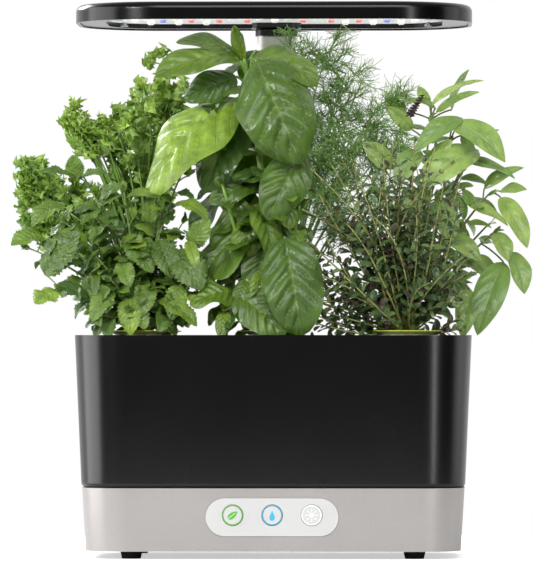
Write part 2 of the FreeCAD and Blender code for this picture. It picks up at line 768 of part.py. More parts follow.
def mast_tower():
    body = new_body("mast_tower", ("0", "mast_y", "0"))
    rise = "tower_top - (%s)" % PLATE_TOP
    outer = rounded_rect(body, "tower_outline", ("0", "0", PLATE_TOP), TOWER_WIDTH, TOWER_DEPTH,
                         TOWER_CORNER)
    pad(body, outer, rise)
    back = rounded_rect(body, "tower_fairing", ("0", "tower_back / 2", "seam_level + seam_gap"),
                        TOWER_WIDTH, TOWER_DEPTH + " + tower_back", TOWER_CORNER)
    fairing = pad(body, back, "tower_top - seam_level - seam_gap")
    dress(body, "Fillet", fairing, edges_where(fairing, at_level("tower_top")), "1.2")
    wings = rect(body, "tower_wings", ("0", "0", PLATE_TOP), "%s + 2 * tower_foot" % TOWER_WIDTH,
                 "tower_foot")
    pad(body, wings, "tower_foot_height")
    bore = rounded_rect(body, "tower_bore", ("0", "0", "tower_top"), "tube_width + 2 * slide_gap",
                        "tube_depth + 2 * slide_gap", "tube_corner + slide_gap")
    pocket(body, bore, rise + " - 2")
    lead = circles(body, "tower_lead_hole", ("0", "0", PLATE_TOP), "lead_width + 3")
    pocket(body, lead, "3", up=True)
    holes = circles(body, "tower_pilots", ("0", "0", PLATE_TOP), "screw_width + 2 * screw_gap",
                    [("-" + WING_X, "0"), (WING_X, "0")])
    return pocket(body, holes, "tower_foot_height - 1", up=True)


def bowl():
    body = new_body("bowl")
    narrow = "%s * tan(bowl_draft)" % BOWL_RISE
    outer = rounded_rect(body, "bowl_outline", ("0", "0", BOWL_LOW), "rim_width - 2 * " + narrow,
                         "rim_depth - 2 * " + narrow, "rim_corner - " + narrow)
    solid = pad(body, outer, BOWL_RISE, "bowl_draft")
    dress(body, "Fillet", solid, edges_where(solid, at_level(BOWL_LOW)), "bowl_edge")
    inner = rounded_rect(body, "bowl_hollow", ("0", "0", "rim_level"), "rim_width - 2 * bowl_wall",
                         "rim_depth - 2 * bowl_wall", "rim_corner - bowl_wall")
    pocket(body, inner, BOWL_RISE + " - bowl_floor", "-bowl_draft")
    rebate = rounded_rect(body, "bowl_rebate", ("0", "0", "rim_level"), "rim_width - 2 * rebate_wall",
                          "rim_depth - 2 * rebate_wall", "rim_corner - rebate_wall")
    pocket(body, rebate, "deck_drop + deck_thickness")
    half = "(%s / 2 + bowl_wall)" % NOTCH_WIDTH
    front = "(%s - bowl_wall)" % NOTCH_FRONT
    walls = []
    for name, level, rear in (("bowl_notch_low", BOWL_LOW, "(rim_depth / 2 - %s - 1.2)" % narrow),
                              ("bowl_notch_high", DECK_LOW, "(rim_depth / 2 - (rim_level - %s)"
                                                            " * tan(bowl_draft) - 1.2)" % DECK_LOW)):
        points = [("-" + half, front), (half, front), (half, rear), ("-" + half, rear)]
        walls.append(polygon(body, name, ("0", "0", level), points))
    loft(body, *walls)
    well = circles(body, "bowl_well", ("pump_x", "pump_y", FLOOR_TOP), WELL_OUT)
    pad(body, well, "well_depth + well_wall", down=True)
    bore = circles(body, "bowl_well_bore", ("pump_x", "pump_y", FLOOR_TOP), "well_bore")
    pocket(body, bore, "well_depth")
    post = circles(body, "bowl_float_post", ("float_x", "float_y", FLOOR_TOP), "post_width")
    pad(body, post, "float_height + float_travel + 5")
    stand = circles(body, "bowl_float_stand", ("float_x", "float_y", FLOOR_TOP), "post_width + 6")
    pad(body, stand, "1.5")
    notch = polygon(body, "bowl_notch", ("0", "0", "rim_level"),
                    [("-%s / 2" % NOTCH_WIDTH, NOTCH_FRONT), ("%s / 2" % NOTCH_WIDTH, NOTCH_FRONT),
                     ("%s / 2" % NOTCH_WIDTH, "rim_depth"), ("-%s / 2" % NOTCH_WIDTH, "rim_depth")])
    return pocket(body, notch)


def pod_places():
    """Where the six pods stand on the deck."""
    return [(x, y) for _, x, y in PODS]


def grow_deck():
    body = new_body("grow_deck")
    edge = "(rebate_wall + deck_gap)"
    drop = "(deck_drop + deck_thickness)"
    plate = rounded_rect(body, "deck_outline", ("0", "0", DECK_LOW), "rim_width - 2 * " + edge,
                         "rim_depth - 2 * " + edge, "rim_corner - " + edge)
    pad(body, plate, "deck_thickness")
    lean = "(bowl_wall + deck_gap + (%s + skirt_height) * tan(bowl_draft))" % drop
    skirt = rounded_rect(body, "deck_skirt", ("0", "0", DECK_LOW), "rim_width - 2 * " + lean,
                         "rim_depth - 2 * " + lean, "rim_corner - " + lean)
    pad(body, skirt, "skirt_height", down=True)
    inside = "(%s + skirt_wall)" % lean
    hollow = rounded_rect(body, "deck_hollow", ("0", "0", DECK_LOW + " - skirt_height"),
                          "rim_width - 2 * " + inside, "rim_depth - 2 * " + inside,
                          "rim_corner - " + inside)
    pocket(body, hollow, "skirt_height", up=True)
    half = "(%s / 2 + bowl_wall + deck_gap)" % NOTCH_WIDTH
    front = "(%s - bowl_wall - deck_gap)" % NOTCH_FRONT
    rear = "(rim_depth / 2 - %s - skirt_wall / 2)" % lean
    wall = polygon(body, "deck_notch_wall", ("0", "0", DECK_LOW),
                   [("-%s - skirt_wall" % half, front + " - skirt_wall"),
                    ("%s + skirt_wall" % half, front + " - skirt_wall"),
                    ("%s + skirt_wall" % half, rear), ("-%s - skirt_wall" % half, rear)])
    pad(body, wall, "skirt_height", down=True)
    clear = polygon(body, "deck_notch_clear", ("0", "0", DECK_LOW),
                    [("-" + half, front), (half, front), (half, "rim_depth"), ("-" + half, "rim_depth")])
    pocket(body, clear, "skirt_height + 1")
    holes = circles(body, "deck_pod_holes", ("0", "0", DECK_TOP), "pod_hole", pod_places())
    pocket(body, holes, "deck_thickness + 0.1")
    port = rect(body, "deck_port_frame", ("port_x", "port_y", DECK_LOW),
                "port_width + 2 * lid_gap + 2 * pin_length + 3", "port_length + 2 * knuckle_width + 3")
    pad(body, port, "4", down=True)
    mouth = rect(body, "deck_port_mouth", ("port_x", "port_y + port_ledge / 2", DECK_TOP),
                 "port_width - 2 * port_ledge", "port_length - port_ledge")
    pocket(body, mouth, "deck_thickness + 5")
    seat = polygon(body, "deck_port_seat", ("port_x", "port_y", DECK_TOP),
                   [("-port_width / 2 - lid_gap", "-port_length / 2 - lid_gap"),
                    ("port_width / 2 + lid_gap", "-port_length / 2 - lid_gap"),
                    ("port_width / 2 + lid_gap", "port_length / 2 + knuckle_width / 2 + 0.5"),
                    ("-port_width / 2 - lid_gap", "port_length / 2 + knuckle_width / 2 + 0.5")])
    pocket(body, seat, "lid_thickness + 0.05")
    trough = polygon(body, "deck_knuckle_trough", ("port_x", "port_y", DECK_TOP),
                     [("-port_width / 2 - lid_gap", "port_length / 2 - knuckle_width / 2 - 0.5"),
                      ("port_width / 2 + lid_gap", "port_length / 2 - knuckle_width / 2 - 0.5"),
                      ("port_width / 2 + lid_gap", "port_length / 2 + knuckle_width / 2 + 0.5"),
                      ("-port_width / 2 - lid_gap", "port_length / 2 + knuckle_width / 2 + 0.5")])
    pocket(body, trough, "knuckle_width + 0.5")
    axle = circles(body, "deck_pin_bore", ("port_y + port_length / 2", DECK_TOP + " - knuckle_width / 2",
                                           "port_x + port_width / 2 + lid_gap + pin_length"),
                   "pin_width + 2 * pin_gap", role="YZ_Plane")
    pocket(body, axle, "port_width + 2 * lid_gap + 2 * pin_length")
    thumb = circles(body, "deck_thumb_dip", ("port_x", "port_y - port_length / 2", DECK_TOP), "12")
    pocket(body, thumb, "1.2")
    notch = polygon(body, "deck_notch", ("0", "0", DECK_TOP),
                    [("-%s / 2" % NOTCH_WIDTH, NOTCH_FRONT), ("%s / 2" % NOTCH_WIDTH, NOTCH_FRONT),
                     ("%s / 2" % NOTCH_WIDTH, "rim_depth"), ("-%s / 2" % NOTCH_WIDTH, "rim_depth")])
    return pocket(body, notch, "deck_thickness + 0.1")


def fill_lid():
    hinge = ("port_x", "port_y + port_length / 2", DECK_TOP + " - knuckle_width / 2")
    body = new_body("fill_lid", hinge)
    top = "knuckle_width / 2"
    plate = polygon(body, "lid_outline", ("0", "0", top),
                    [("-port_width / 2", "-port_length"), ("port_width / 2", "-port_length"),
                     ("port_width / 2", "0"), ("-port_width / 2", "0")])
    pad(body, plate, "lid_thickness", down=True)
    knuckle = circles(body, "lid_knuckle", ("0", "0", "-port_width / 2"), "knuckle_width", role="YZ_Plane")
    pad(body, knuckle, "port_width")
    pin = circles(body, "lid_pins", ("0", "0", "-port_width / 2 - pin_length"), "pin_width", role="YZ_Plane")
    pad(body, pin, "port_width + 2 * pin_length")
    rib = rect(body, "lid_rib", ("0", "-port_length / 2 - 1", top + " - lid_thickness"),
               "port_width - 2 * port_ledge - 3", "1.6")
    pad(body, rib, "1.2", down=True)
    lip = circles(body, "lid_thumb_lip", ("0", "-port_length", top), "7")
    return pocket(body, lip, "0.7")


def pump_pieces():
    shaft_length = "well_depth + cover_height - 2"
    shaft = cylinder("impeller_shaft", "shaft_width", shaft_length, ("pump_x", "pump_y", WELL_FLOOR))
    keep(shaft, "impeller_shaft")
    impeller()
    pump_cover()
    foam_filter()
    riser_tube()
    float_pieces()


def impeller():
    body = new_body("impeller", ("pump_x", "pump_y", WELL_FLOOR + " + rotor_lift"))
    magnet = circles(body, "impeller_magnet", ("0", "0", "0"), "rotor_width")
    disc = pad(body, magnet, "rotor_height")
    dress(body, "Chamfer", disc, edges_where(disc, at_level("0")), "0.8")
    hub = circles(body, "impeller_hub", ("0", "0", "rotor_height"), "shaft_width + 4")
    pad(body, hub, "vane_height + 1")
    vane = polygon(body, "impeller_vane", ("0", "0", "rotor_height"),
                   [("1.5", "-vane_thickness / 2"), ("rotor_width / 2 - 0.4", "-vane_thickness / 2"),
                    ("rotor_width / 2 - 0.4", "vane_thickness / 2"), ("1.5", "vane_thickness / 2")])
    ring_of(body, pad(body, vane, "vane_height"), "vane_count")
    bore = circles(body, "impeller_bore", ("0", "0", "rotor_height"), "shaft_width + 2 * shaft_gap")
    return pocket(body, bore)


def pump_cover():
    body = new_body("pump_cover", ("pump_x", "pump_y", FLOOR_TOP))
    dome = circles(body, "cover_dome", ("0", "0", "0"), "cover_width")
    solid = pad(body, dome, "cover_height")
    dress(body, "Fillet", solid, edges_where(solid, at_level("cover_height")), "2")
    spout = rect(body, "cover_spout", ("(riser_x - pump_x) / 2", "0", "0"), "pump_x - riser_x", "10")
    pad(body, spout, "cover_height - 2")
    seat = circles(body, "cover_riser_seat", ("riser_x - pump_x", "0", "0"), "riser_width + 4")
    pad(body, seat, "cover_height")
    hollow = circles(body, "cover_hollow", ("0", "0", "0"), "cover_width - 2 * cover_wall")
    pocket(body, hollow, "cover_height - cover_wall", up=True)
    duct = rect(body, "cover_duct", ("(riser_x - pump_x) / 2", "0", "cover_wall"), "pump_x - riser_x", "5")
    pocket(body, duct, "4.5", up=True)
    socket = circles(body, "cover_socket", ("riser_x - pump_x", "0", "cover_height"),
                     "riser_width + 2 * screw_gap")
    pocket(body, socket, "cover_height - 2.5")
    slot = polygon(body, "cover_slot", ("0", "0", "cover_height"),
                   [("4", "-0.9"), ("11", "-0.9"), ("11", "0.9"), ("4", "0.9")])
    return ring_of(body, pocket(body, slot, "cover_wall + 1"), "vane_count")


def foam_filter():
    body = new_body("foam_filter", ("pump_x", "pump_y", FLOOR_TOP + " + cover_height + 0.3"))
    outline = rounded_rect(body, "filter_outline", ("0", "0", "0"), "cover_width + 2", "cover_width + 2", "8")
    return pad(body, outline, "filter_height")


def riser_tube():
    low = "%s + 2.8" % FLOOR_TOP
    body = new_body("riser_tube", ("riser_x", "pump_y", low))
    outer = circles(body, "riser_outline", ("0", "0", "0"), "riser_width")
    pad(body, outer, "%s - (%s) - 0.3" % (DECK_LOW, low))
    bore = circles(body, "riser_bore_cut", ("0", "0", "0"), "riser_bore")
    return pocket(body, bore)


def float_pieces():
    base = "%s + 1.5" % FLOOR_TOP
    body = new_body("float_ring", ("float_x", "float_y", base + " + 0.3"))
    bore = "post_width / 2 + float_gap"
    edge = "float_width / 2"
    profile = [(bore, "0"), (edge + " - 2", "0"), (edge, "2"), (edge, "float_height - 2"),
               (edge + " - 2", "float_height"), (bore, "float_height")]
    revolve(body, polygon(body, "float_profile", ("0", "0", "0"), profile, role="XZ_Plane"))
    top = "%s + float_height + float_travel + 5" % FLOOR_TOP
    clip = new_body("float_clip", ("float_x", "float_y", top + " - 2.2"))
    disc = circles(clip, "clip_outline", ("0", "0", "0"), "post_width + 6")
    pad(clip, disc, "3.4")
    hole = circles(clip, "clip_bore", ("0", "0", "0"), "post_width + 2 * screw_gap")
    return pocket(clip, hole, "2.2", up=True)


def grow_basket(name, x, y):
    body = new_body("basket_" + name, (x, y, DECK_TOP))
    top = "(pod_hole / 2 - basket_gap)"
    tip = "(basket_tip / 2)"
    profile = [("0", "-basket_depth"), (tip, "-basket_depth"), (top, "0"),
               ("pod_hole / 2 + basket_lip", "0"), ("pod_hole / 2 + basket_lip", "basket_lip_height"),
               (top + " - basket_wall", "basket_lip_height"),
               (tip + " - basket_wall", "basket_wall - basket_depth"),
               ("0", "basket_wall - basket_depth")]
    revolve(body, polygon(body, name + "_basket_profile", ("0", "0", "0"), profile, role="XZ_Plane"))
    slot = rect(body, name + "_basket_slot", ("0", "-basket_depth / 2 - 8", "0"), "4", "basket_depth / 2",
                role="XZ_Plane")
    cut = pocket(body, slot, "basket_tip")
    ring = body.newObject("PartDesign::PolarPattern", name + "_basket_ring")
    ring.Originals = [cut]
    ring.Axis = ([f for f in body.Origin.OriginFeatures if f.Role == "Z_Axis"][0], [""])
    ring.Angle = 360
    ring.Occurrences = 6
    body.Tip = ring
    return finish(ring)


def grow_sponges():
    top = "(pod_hole / 2 - basket_gap - basket_wall - sponge_gap)"
    lean = "(pod_hole / 2 - basket_gap - basket_tip / 2) / basket_depth * sponge_depth"
    solids = []
    for name, x, y in PODS:
        cone = doc.addObject("Part::Cone", name + "_sponge")
        cone.setExpression("Radius1", bound("%s - %s" % (top, lean)))
        cone.setExpression("Radius2", bound(top))
        cone.setExpression("Height", bound("sponge_depth"))
        put(cone, (x, y, DECK_TOP + " - sponge_depth"))
        solids.append(cone)
    return group("grow_sponges", solids)


def pod_label(name, x, y):
    body = new_body("label_" + name, (x, y, DECK_TOP + " + basket_lip_height"))
    hole, rim = "label_hole / 2", "label_width / 2"
    knee = "label_width / 2 - 8"
    profile = [(hole, "0.05"), (knee, "0.05"), (rim, "label_curl"), (rim, "label_curl + label_thickness"),
               (knee, "0.05 + label_thickness"), (hole, "0.05 + label_thickness")]
    return revolve(body, polygon(body, name + "_label_profile", ("0", "0", "0"), profile, role="XZ_Plane"))


def leafy_loops(rings, sides=20, lobes=5, notch=0.1):
    """Level loops of corners, one for each ring, which has a middle, a half width and a half depth.

    The rings are ellipses whose edge is drawn in a little between the lobes.
    """
    loops = []
    for turn, (x, y, z, width, depth) in enumerate(rings):
        loop = []
        for side in range(sides):
            angle = 2 * math.pi * side / sides
            share = 1 - notch * (0.5 - 0.5 * math.cos(lobes * angle + turn))
            loop.append((x + width * share * math.cos(angle), y + depth * share * math.sin(angle), z))
        loops.append(loop)
    return loops


def leafy_solid(loops):
    """The closed solid through level loops, with flat three-cornered faces between them."""
    loops = [[FreeCAD.Vector(*corner) for corner in loop] for loop in loops]
    corners = []
    for low, high in zip(loops, loops[1:]):
        for side in range(len(low)):
            after = (side + 1) % len(low)
            corners.append((low[side], low[after], high[after]))
            corners.append((low[side], high[after], high[side]))
    faces = [Part.Face(Part.makePolygon(list(three) + [three[0]])) for three in corners]
    for loop in (loops[0], loops[-1]):
        faces.append(Part.Face(Part.makePolygon(loop + [loop[0]])))
    solid = Part.Solid(Part.Shell(faces))
    if solid.Volume < 0:
        solid.reverse()
    return solid


# Each plant's crown: how far each ring's middle lies from the pod and below the plant's top,
# and the ring's half width and half depth.
CROWNS = {
    "parsley": [(-19, -6, 91, 42, 26), (-27, -9, 66, 62, 38), (-28, -9, 36, 60, 38), (-22, -9, 11, 40, 28),
                (-19, -9, 0, 16, 12)],
    "mint": [(-6, -4, 114, 22, 18), (-17, -8, 96, 48, 29), (-27, -8, 61, 60, 30), (-27, -8, 31, 54, 29),
             (-23, -8, 8, 30, 22), (-21, -8, 0, 10, 8)],
    "basil": [(-4, -2, 183, 26, 24), (-8, -4, 150, 36, 32), (-10, 0, 110, 38, 36), (-10, 4, 70, 41, 40),
              (-6, 6, 30, 40, 38), (-4, 8, 7, 24, 22), (-4, 8, 0, 10, 10)],
    "dill": [(20, 10, 155, 10, 10), (44, 20, 125, 22, 22), (56, 22, 95, 30, 30), (57, 22, 50, 30, 31),
             (56, 22, 15, 22, 22), (55, 22, 0, 8, 8)],
    "lemon_basil": [(7, -1, 148, 16, 14), (25, -4, 128, 32, 28), (39, -6, 98, 42, 34), (43, -6, 68, 41, 36),
                    (41, -6, 33, 37, 33), (35, -6, 10, 22, 20), (31, -6, 0, 8, 8)],
    "thyme": [(0, -6, 115, 26, 20), (-3, -8, 93, 42, 29), (-3, -8, 58, 46, 30), (1, -8, 28, 40, 29),
              (5, -8, 9, 22, 18), (5, -8, 0, 8, 8)],
}


def plants():
    """Each plant is one solid: its stem, rising through the label, and the space its leaves fill.

    The back plants at the two ends lean out to the same distance from the garden's middle.
    """
    low = number("%s + 0.3" % DECK_TOP)
    stem = number("stem_width / 2")
    for name, x, y in PODS:
        top = number(name + "_top")
        rings = [(0, 0, top - low, stem, stem), (0, 0, top - low - 9, stem, stem)] + CROWNS[name]
        loops = leafy_loops([(dx, dy, top - drop, w, d) for dx, dy, drop, w, d in rings])
        if name in ("parsley", "lemon_basil"):
            widest = max(abs(corner[0]) for loop in loops for corner in loop)
            stretch = (number("leaf_reach") - abs(number(x))) / widest
            loops = loops[:2] + [[(cx * stretch, cy, cz) for cx, cy, cz in loop] for loop in loops[2:]]
        plant = doc.addObject("Part::Feature", name + "_plant")
        plant.Shape = leafy_solid(loops)
        put(plant, (x, y, "0"))
        keep(plant, name + "_plant")


def mast_tube():
    body = new_body("mast_tube", ("0", "mast_y", "tube_bottom"))
    outer = rounded_rect(body, "tube_outline", ("0", "0", "0"), "tube_width", "tube_depth", "tube_corner")
    pad(body, outer, "tube_top - tube_bottom")
    bore = rounded_rect(body, "tube_bore", ("0", "0", "0"), "tube_width - 2 * tube_wall",
                        "tube_depth - 2 * tube_wall", "tube_corner - tube_wall")
    return pocket(body, bore)


def mast_collar():
    body = new_body("mast_collar", ("0", "mast_y", "tube_top"))
    ring = rounded_rect(body, "collar_outline", ("0", "0", "0"), "collar_width", "collar_depth",
                        "tube_corner + 1.5")
    solid = pad(body, ring, "collar_height")
    dress(body, "Fillet", solid, edges_where(solid, at_level("collar_height")), "0.8")
    sleeve = rounded_rect(body, "collar_sleeve_round", ("0", "0", "0"), "tube_width - 2 * tube_wall - 0.1",
                          "tube_depth - 2 * tube_wall - 0.1", "tube_corner - tube_wall")
    pad(body, sleeve, "collar_sleeve", down=True)
    bore = rounded_rect(body, "collar_bore", ("0", "0", "0"), "inner_width + 2 * slide_gap",
                        "inner_depth + 2 * slide_gap", "inner_corner + slide_gap")
    return pocket(body, bore)


def mast_glide():
    body = new_body("mast_glide", ("0", "mast_y", "tube_bottom"))
    plug = rounded_rect(body, "glide_plug", ("0", "0", "0"), "tube_width - 2 * tube_wall - 0.1",
                        "tube_depth - 2 * tube_wall - 0.1", "tube_corner - tube_wall")
    pad(body, plug, "glide_height")
    foot = rounded_rect(body, "glide_foot", ("0", "0", "0"), "tube_width", "tube_depth", "tube_corner")
    pad(body, foot, "1.2", down=True)
    bore = rounded_rect(body, "glide_bore", ("0", "0", "0"), "lead_width + 6", "lead_width + 3", "2")
    return pocket(body, bore)


def inner_mast():
    low = "tube_top - collar_sleeve - 0.3 - upper_travel - stop_height"
    body = new_body("inner_mast", ("0", "mast_y", low))
    outer = rounded_rect(body, "inner_outline", ("0", "0", "0"), "inner_width", "inner_depth", "inner_corner")
    pad(body, outer, "hood_level + panel_lift - (%s)" % low)
    bore = rounded_rect(body, "inner_bore", ("0", "0", "0"), "inner_width - 2 * inner_wall",
                        "inner_depth - 2 * inner_wall", "inner_corner - inner_wall")
    bush = rounded_rect(body, "inner_stop", ("0", "0", "0"),
                        "tube_width - 2 * tube_wall - 2 * slide_gap",
                        "tube_depth - 2 * tube_wall - 2 * slide_gap", "tube_corner - tube_wall - slide_gap")
    pad(body, bush, "stop_height")
    return pocket(body, bore)


def lamp_lead():
    low = "(%s + 0.3)" % PLATE_TOP
    return keep(cylinder("lamp_lead", "lead_width", "hood_level + panel_lift - 0.3 - %s" % low,
                         ("0", "mast_y", low)), "lamp_lead")


HOOD_SCREWS = [("-hood_screw_x", "-hood_screw_y * 0.62"), ("hood_screw_x", "-hood_screw_y * 0.62"),
               ("-hood_screw_x", "hood_screw_y * 0.62"), ("hood_screw_x", "hood_screw_y * 0.62"),
               ("-hood_screw_x / 3", "-hood_screw_y"), ("hood_screw_x / 3", "-hood_screw_y")]


def hood_housing():
    body = new_body("hood_housing", ("0", "0", "hood_level"))
    outer = rounded_rect(body, "hood_outline", ("0", "0", "0"), "hood_width", "hood_depth", "hood_corner")
    solid = pad(body, outer, "hood_height")
    dress(body, "Fillet", solid, edges_where(solid, at_level("hood_height")), "hood_edge")
    inner = rounded_rect(body, "hood_hollow", ("0", "0", "0"), "hood_width - 2 * hood_wall",
                         "hood_depth - 2 * hood_wall", "hood_corner - hood_wall")
    pocket(body, inner, "hood_height - hood_wall", up=True)
    posts = circles(body, "hood_posts", ("0", "0", "panel_lift + board_thickness"), "hood_boss", HOOD_SCREWS)
    pad(body, posts, "hood_height - panel_lift - board_thickness - hood_wall / 2")
    pilots = circles(body, "hood_pilots", ("0", "0", "panel_lift + board_thickness"),
                     "screw_width + 2 * screw_gap", HOOD_SCREWS)
    pocket(body, pilots, "3.6", up=True)
    for side, place in (("left", "-40"), ("right", "40")):
        start = "%s - slot_pitch * (slot_count - 1) / 2" % place
        slot = rounded_rect(body, "hood_slot_" + side, (start, "10", "hood_height"), "slot_width",
                            "slot_length", "slot_width / 2 - 0.01")
        last = row_of(body, pocket(body, slot, "hood_wall + 1"), "slot_count", "slot_pitch")
    return last


def hood_bezel():
    body = new_body("hood_bezel", ("0", "0", "hood_level + bezel_lift"))
    wall = "(hood_wall + plate_gap)"
    outer = rounded_rect(body, "bezel_outline", ("0", "0", "0"), "hood_width - 2 * " + wall,
                         "hood_depth - 2 * " + wall, "hood_corner - " + wall)
    pad(body, outer, "panel_lift - bezel_lift")
    inner = rounded_rect(body, "bezel_window", ("0", "0", "0"), "hood_width - 2 * bezel_width - 10",
                         "hood_depth - 2 * bezel_width", "hood_corner - bezel_width - 4")
    pocket(body, inner)
    around = rounded_rect(body, "bezel_flange_notch", ("0", "mast_y", "0"), "flange_width + 2 * plate_gap",
                          "flange_depth + 2 * plate_gap", "7 + plate_gap")
    pocket(body, around)
    holes = circles(body, "bezel_holes", ("0", "0", "0"), "screw_width + 2 * screw_gap", HOOD_SCREWS)
    pocket(body, holes)
    seats = circles(body, "bezel_seats", ("0", "0", "0"), "screw_head + 2 * screw_gap", HOOD_SCREWS)
    return pocket(body, seats, "screw_head_height + 0.2", up=True)


def led_board():
    body = new_body("led_board", ("0", "0", "hood_level + panel_lift"))
    edge = "(hood_wall + plate_gap + 1.2)"
    outer = rounded_rect(body, "board_outline", ("0", "0", "0"), "hood_width - 2 * " + edge,
                         "hood_depth - 2 * " + edge, "hood_corner - " + edge)
    pad(body, outer, "board_thickness")
    holes = circles(body, "board_holes", ("0", "0", "0"), "screw_width + 4 * screw_gap", HOOD_SCREWS)
    pocket(body, holes)
    wire = circles(body, "board_lead_hole", ("0", "mast_y", "0"), "lead_width + 2")
    pocket(body, wire)
    bolts = circles(body, "board_bolt_holes", ("0", "mast_y", "0"), "screw_width + 4 * screw_gap",
                    [("-flange_screw", "0"), ("flange_screw", "0")])
    return pocket(body, bolts)


def hood_screws():
    screws = []
    for i, (x, y) in enumerate(HOOD_SCREWS):
        low = "hood_level + bezel_lift + 0.2"
        head = cylinder("hood_screw_head_%d" % i, "screw_head", "screw_head_height", (x, y, low))
        shank = cylinder("hood_screw_shank_%d" % i, "screw_width", "hood_screw_length", (x, y, low))
        screws.append(joined("hood_screw_%d" % i, [head, shank]))
    for i, x in enumerate(("-flange_screw", "flange_screw")):
        place = (x, "mast_y", "hood_level + 0.2")
        head = cylinder("flange_screw_head_%d" % i, "screw_head - 1", "screw_head_height", place)
        shank = cylinder("flange_screw_shank_%d" % i, "screw_width", "panel_lift + board_thickness + 1.2", place)
        screws.append(joined("flange_screw_%d" % i, [head, shank]))
    return group("hood_screws", screws)


def hood_flange():
    body = new_body("hood_flange", ("0", "mast_y", "hood_level"))
    outline = rounded_rect(body, "flange_outline", ("0", "0", "0"), "flange_width", "flange_depth", "7")
    solid = pad(body, outline, "panel_lift")
    dress(body, "Fillet", solid, edges_where(solid, at_level("0")), "0.8")
    bore = rounded_rect(body, "flange_bore", ("0", "0", "0"), "inner_width + 0.1", "inner_depth + 0.1",
                        "inner_corner")
    pocket(body, bore)
    spots = [("-flange_screw", "0"), ("flange_screw", "0")]
    holes = circles(body, "flange_holes", ("0", "0", "0"), "screw_width + 2 * screw_gap", spots)
    pocket(body, holes)
    seats = circles(body, "flange_seats", ("0", "0", "0"), "screw_head - 1 + 2 * screw_gap", spots)
    return pocket(body, seats, "screw_head_height + 0.2", up=True)


def led_driver():
    body = new_body("led_driver", ("0", "12", "hood_level + panel_lift + board_thickness"))
    outline = rounded_rect(body, "driver_outline", ("0", "0", "0"), "driver_width", "driver_depth", "2")
    pad(body, outline, "1")
    cans = circles(body, "driver_parts", ("0", "0", "1"), "7", (("-14", "4"), ("-4", "4"), ("12", "-3")))
    return pad(body, cans, "driver_height - 1")


def lamp_group(label, spots):
    """Lamps of one colour under the board, each a short drum with a sloping rim."""
    body = new_body(label, ("0", "0", "hood_level + panel_lift"))
    body.AllowCompound = True
    drum = pad(body, circles(body, label + "_drums", ("0", "0", "0"), "led_width", spots), "led_height",
               down=True)
    return dress(body, "Chamfer", drum, edges_where(drum, at_level("-led_height")), "led_chamfer")


def lamps():
    """Coloured columns in two rows, with plain white lamps in the rows between them."""
    found = {"white_leds": [], "red_leds": [], "blue_leds": []}
    for step in range(-5, 6):
        colour = {0: "white", 4: "blue", 5: "white"}.get(abs(step), "red")
        for row in (0, 2):
            found[colour + "_leds"].append(("%d * led_pitch" % step,
                                            "led_front_row + %d * led_row_pitch" % row))
    for step in range(-5, 5):
        found["white_leds"].append(("%.1f * led_pitch" % (step + 0.5), "led_front_row + led_row_pitch"))
        if abs(step + 0.5) > 2:
            found["white_leds"].append(("%.1f * led_pitch" % (step + 0.5),
                                        "led_front_row + 3 * led_row_pitch"))
    for label, spots in found.items():
        lamp_group(label, spots)


def build():
    base_shell()
    bottom_plate()
    rubber_feet()
    case_screws()
    control_overlay()
    button("plant_food_button", "-button_pitch")
    button("light_button", "button_pitch")
    water_lens()
    switch_board()
    tact_switches()
    indicator_leds()
    main_board()
    power_jack()
    pump_coil()
    coil_bracket()
    level_sensor()
    mast_tower()
    bowl()
    grow_deck()
    fill_lid()
    pump_pieces()
    for name, x, y in PODS:
        grow_basket(name, x, y)
        pod_label(name, x, y)
    grow_sponges()
    plants()
    mast_tube()
    mast_collar()
    mast_glide()
    inner_mast()
    lamp_lead()
    hood_housing()
    hood_bezel()
    led_board()
    hood_screws()
    hood_flange()
    led_driver()
    lamps()


def write():
    """Check every object, then write each sub-part to its own file."""
    doc.recompute()
    for thing in doc.Objects:
        if "Invalid" in thing.State or "Error" in thing.State:
            raise ValueError("%s is not sound: %s" % (thing.Name, thing.State))
    for piece in PIECES:
        if piece.Shape.isNull() or not piece.Shape.isValid():
            raise ValueError(piece.Label + " has no valid shape")
    os.makedirs("parts", exist_ok=True)
    for piece in PIECES:
        piece.Shape.exportStep("parts/%s.step" % piece.Label)
    print("%d sub-parts written" % len(PIECES))


build()
write()
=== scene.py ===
import math

import bpy
import numpy as np
from mathutils import Matrix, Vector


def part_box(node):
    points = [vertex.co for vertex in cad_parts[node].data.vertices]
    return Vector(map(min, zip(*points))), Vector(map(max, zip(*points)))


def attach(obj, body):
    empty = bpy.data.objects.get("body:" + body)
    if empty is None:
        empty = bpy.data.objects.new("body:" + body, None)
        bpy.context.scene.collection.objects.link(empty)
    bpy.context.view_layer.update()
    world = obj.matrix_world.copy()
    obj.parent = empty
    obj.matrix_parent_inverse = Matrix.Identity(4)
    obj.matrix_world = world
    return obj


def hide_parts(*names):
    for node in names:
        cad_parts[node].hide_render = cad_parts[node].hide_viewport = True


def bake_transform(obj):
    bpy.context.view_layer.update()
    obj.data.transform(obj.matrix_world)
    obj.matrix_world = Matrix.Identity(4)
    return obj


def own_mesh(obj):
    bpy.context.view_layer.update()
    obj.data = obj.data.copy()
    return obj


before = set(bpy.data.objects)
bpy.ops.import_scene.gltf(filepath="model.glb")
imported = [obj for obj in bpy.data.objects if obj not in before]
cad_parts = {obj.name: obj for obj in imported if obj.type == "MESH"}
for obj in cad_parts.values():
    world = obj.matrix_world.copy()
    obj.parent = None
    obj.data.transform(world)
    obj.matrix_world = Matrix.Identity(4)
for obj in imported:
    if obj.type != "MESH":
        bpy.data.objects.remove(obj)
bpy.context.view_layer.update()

# Where the garden is seen from: a long lens, level with the bowl's rim, a little to the right
# of the middle, and pointed up by half a degree.
eye = bpy.data.cameras.new("long_lens")
eye.lens = 371.0
eye.sensor_width = 36.0
eye.clip_end = 40.0
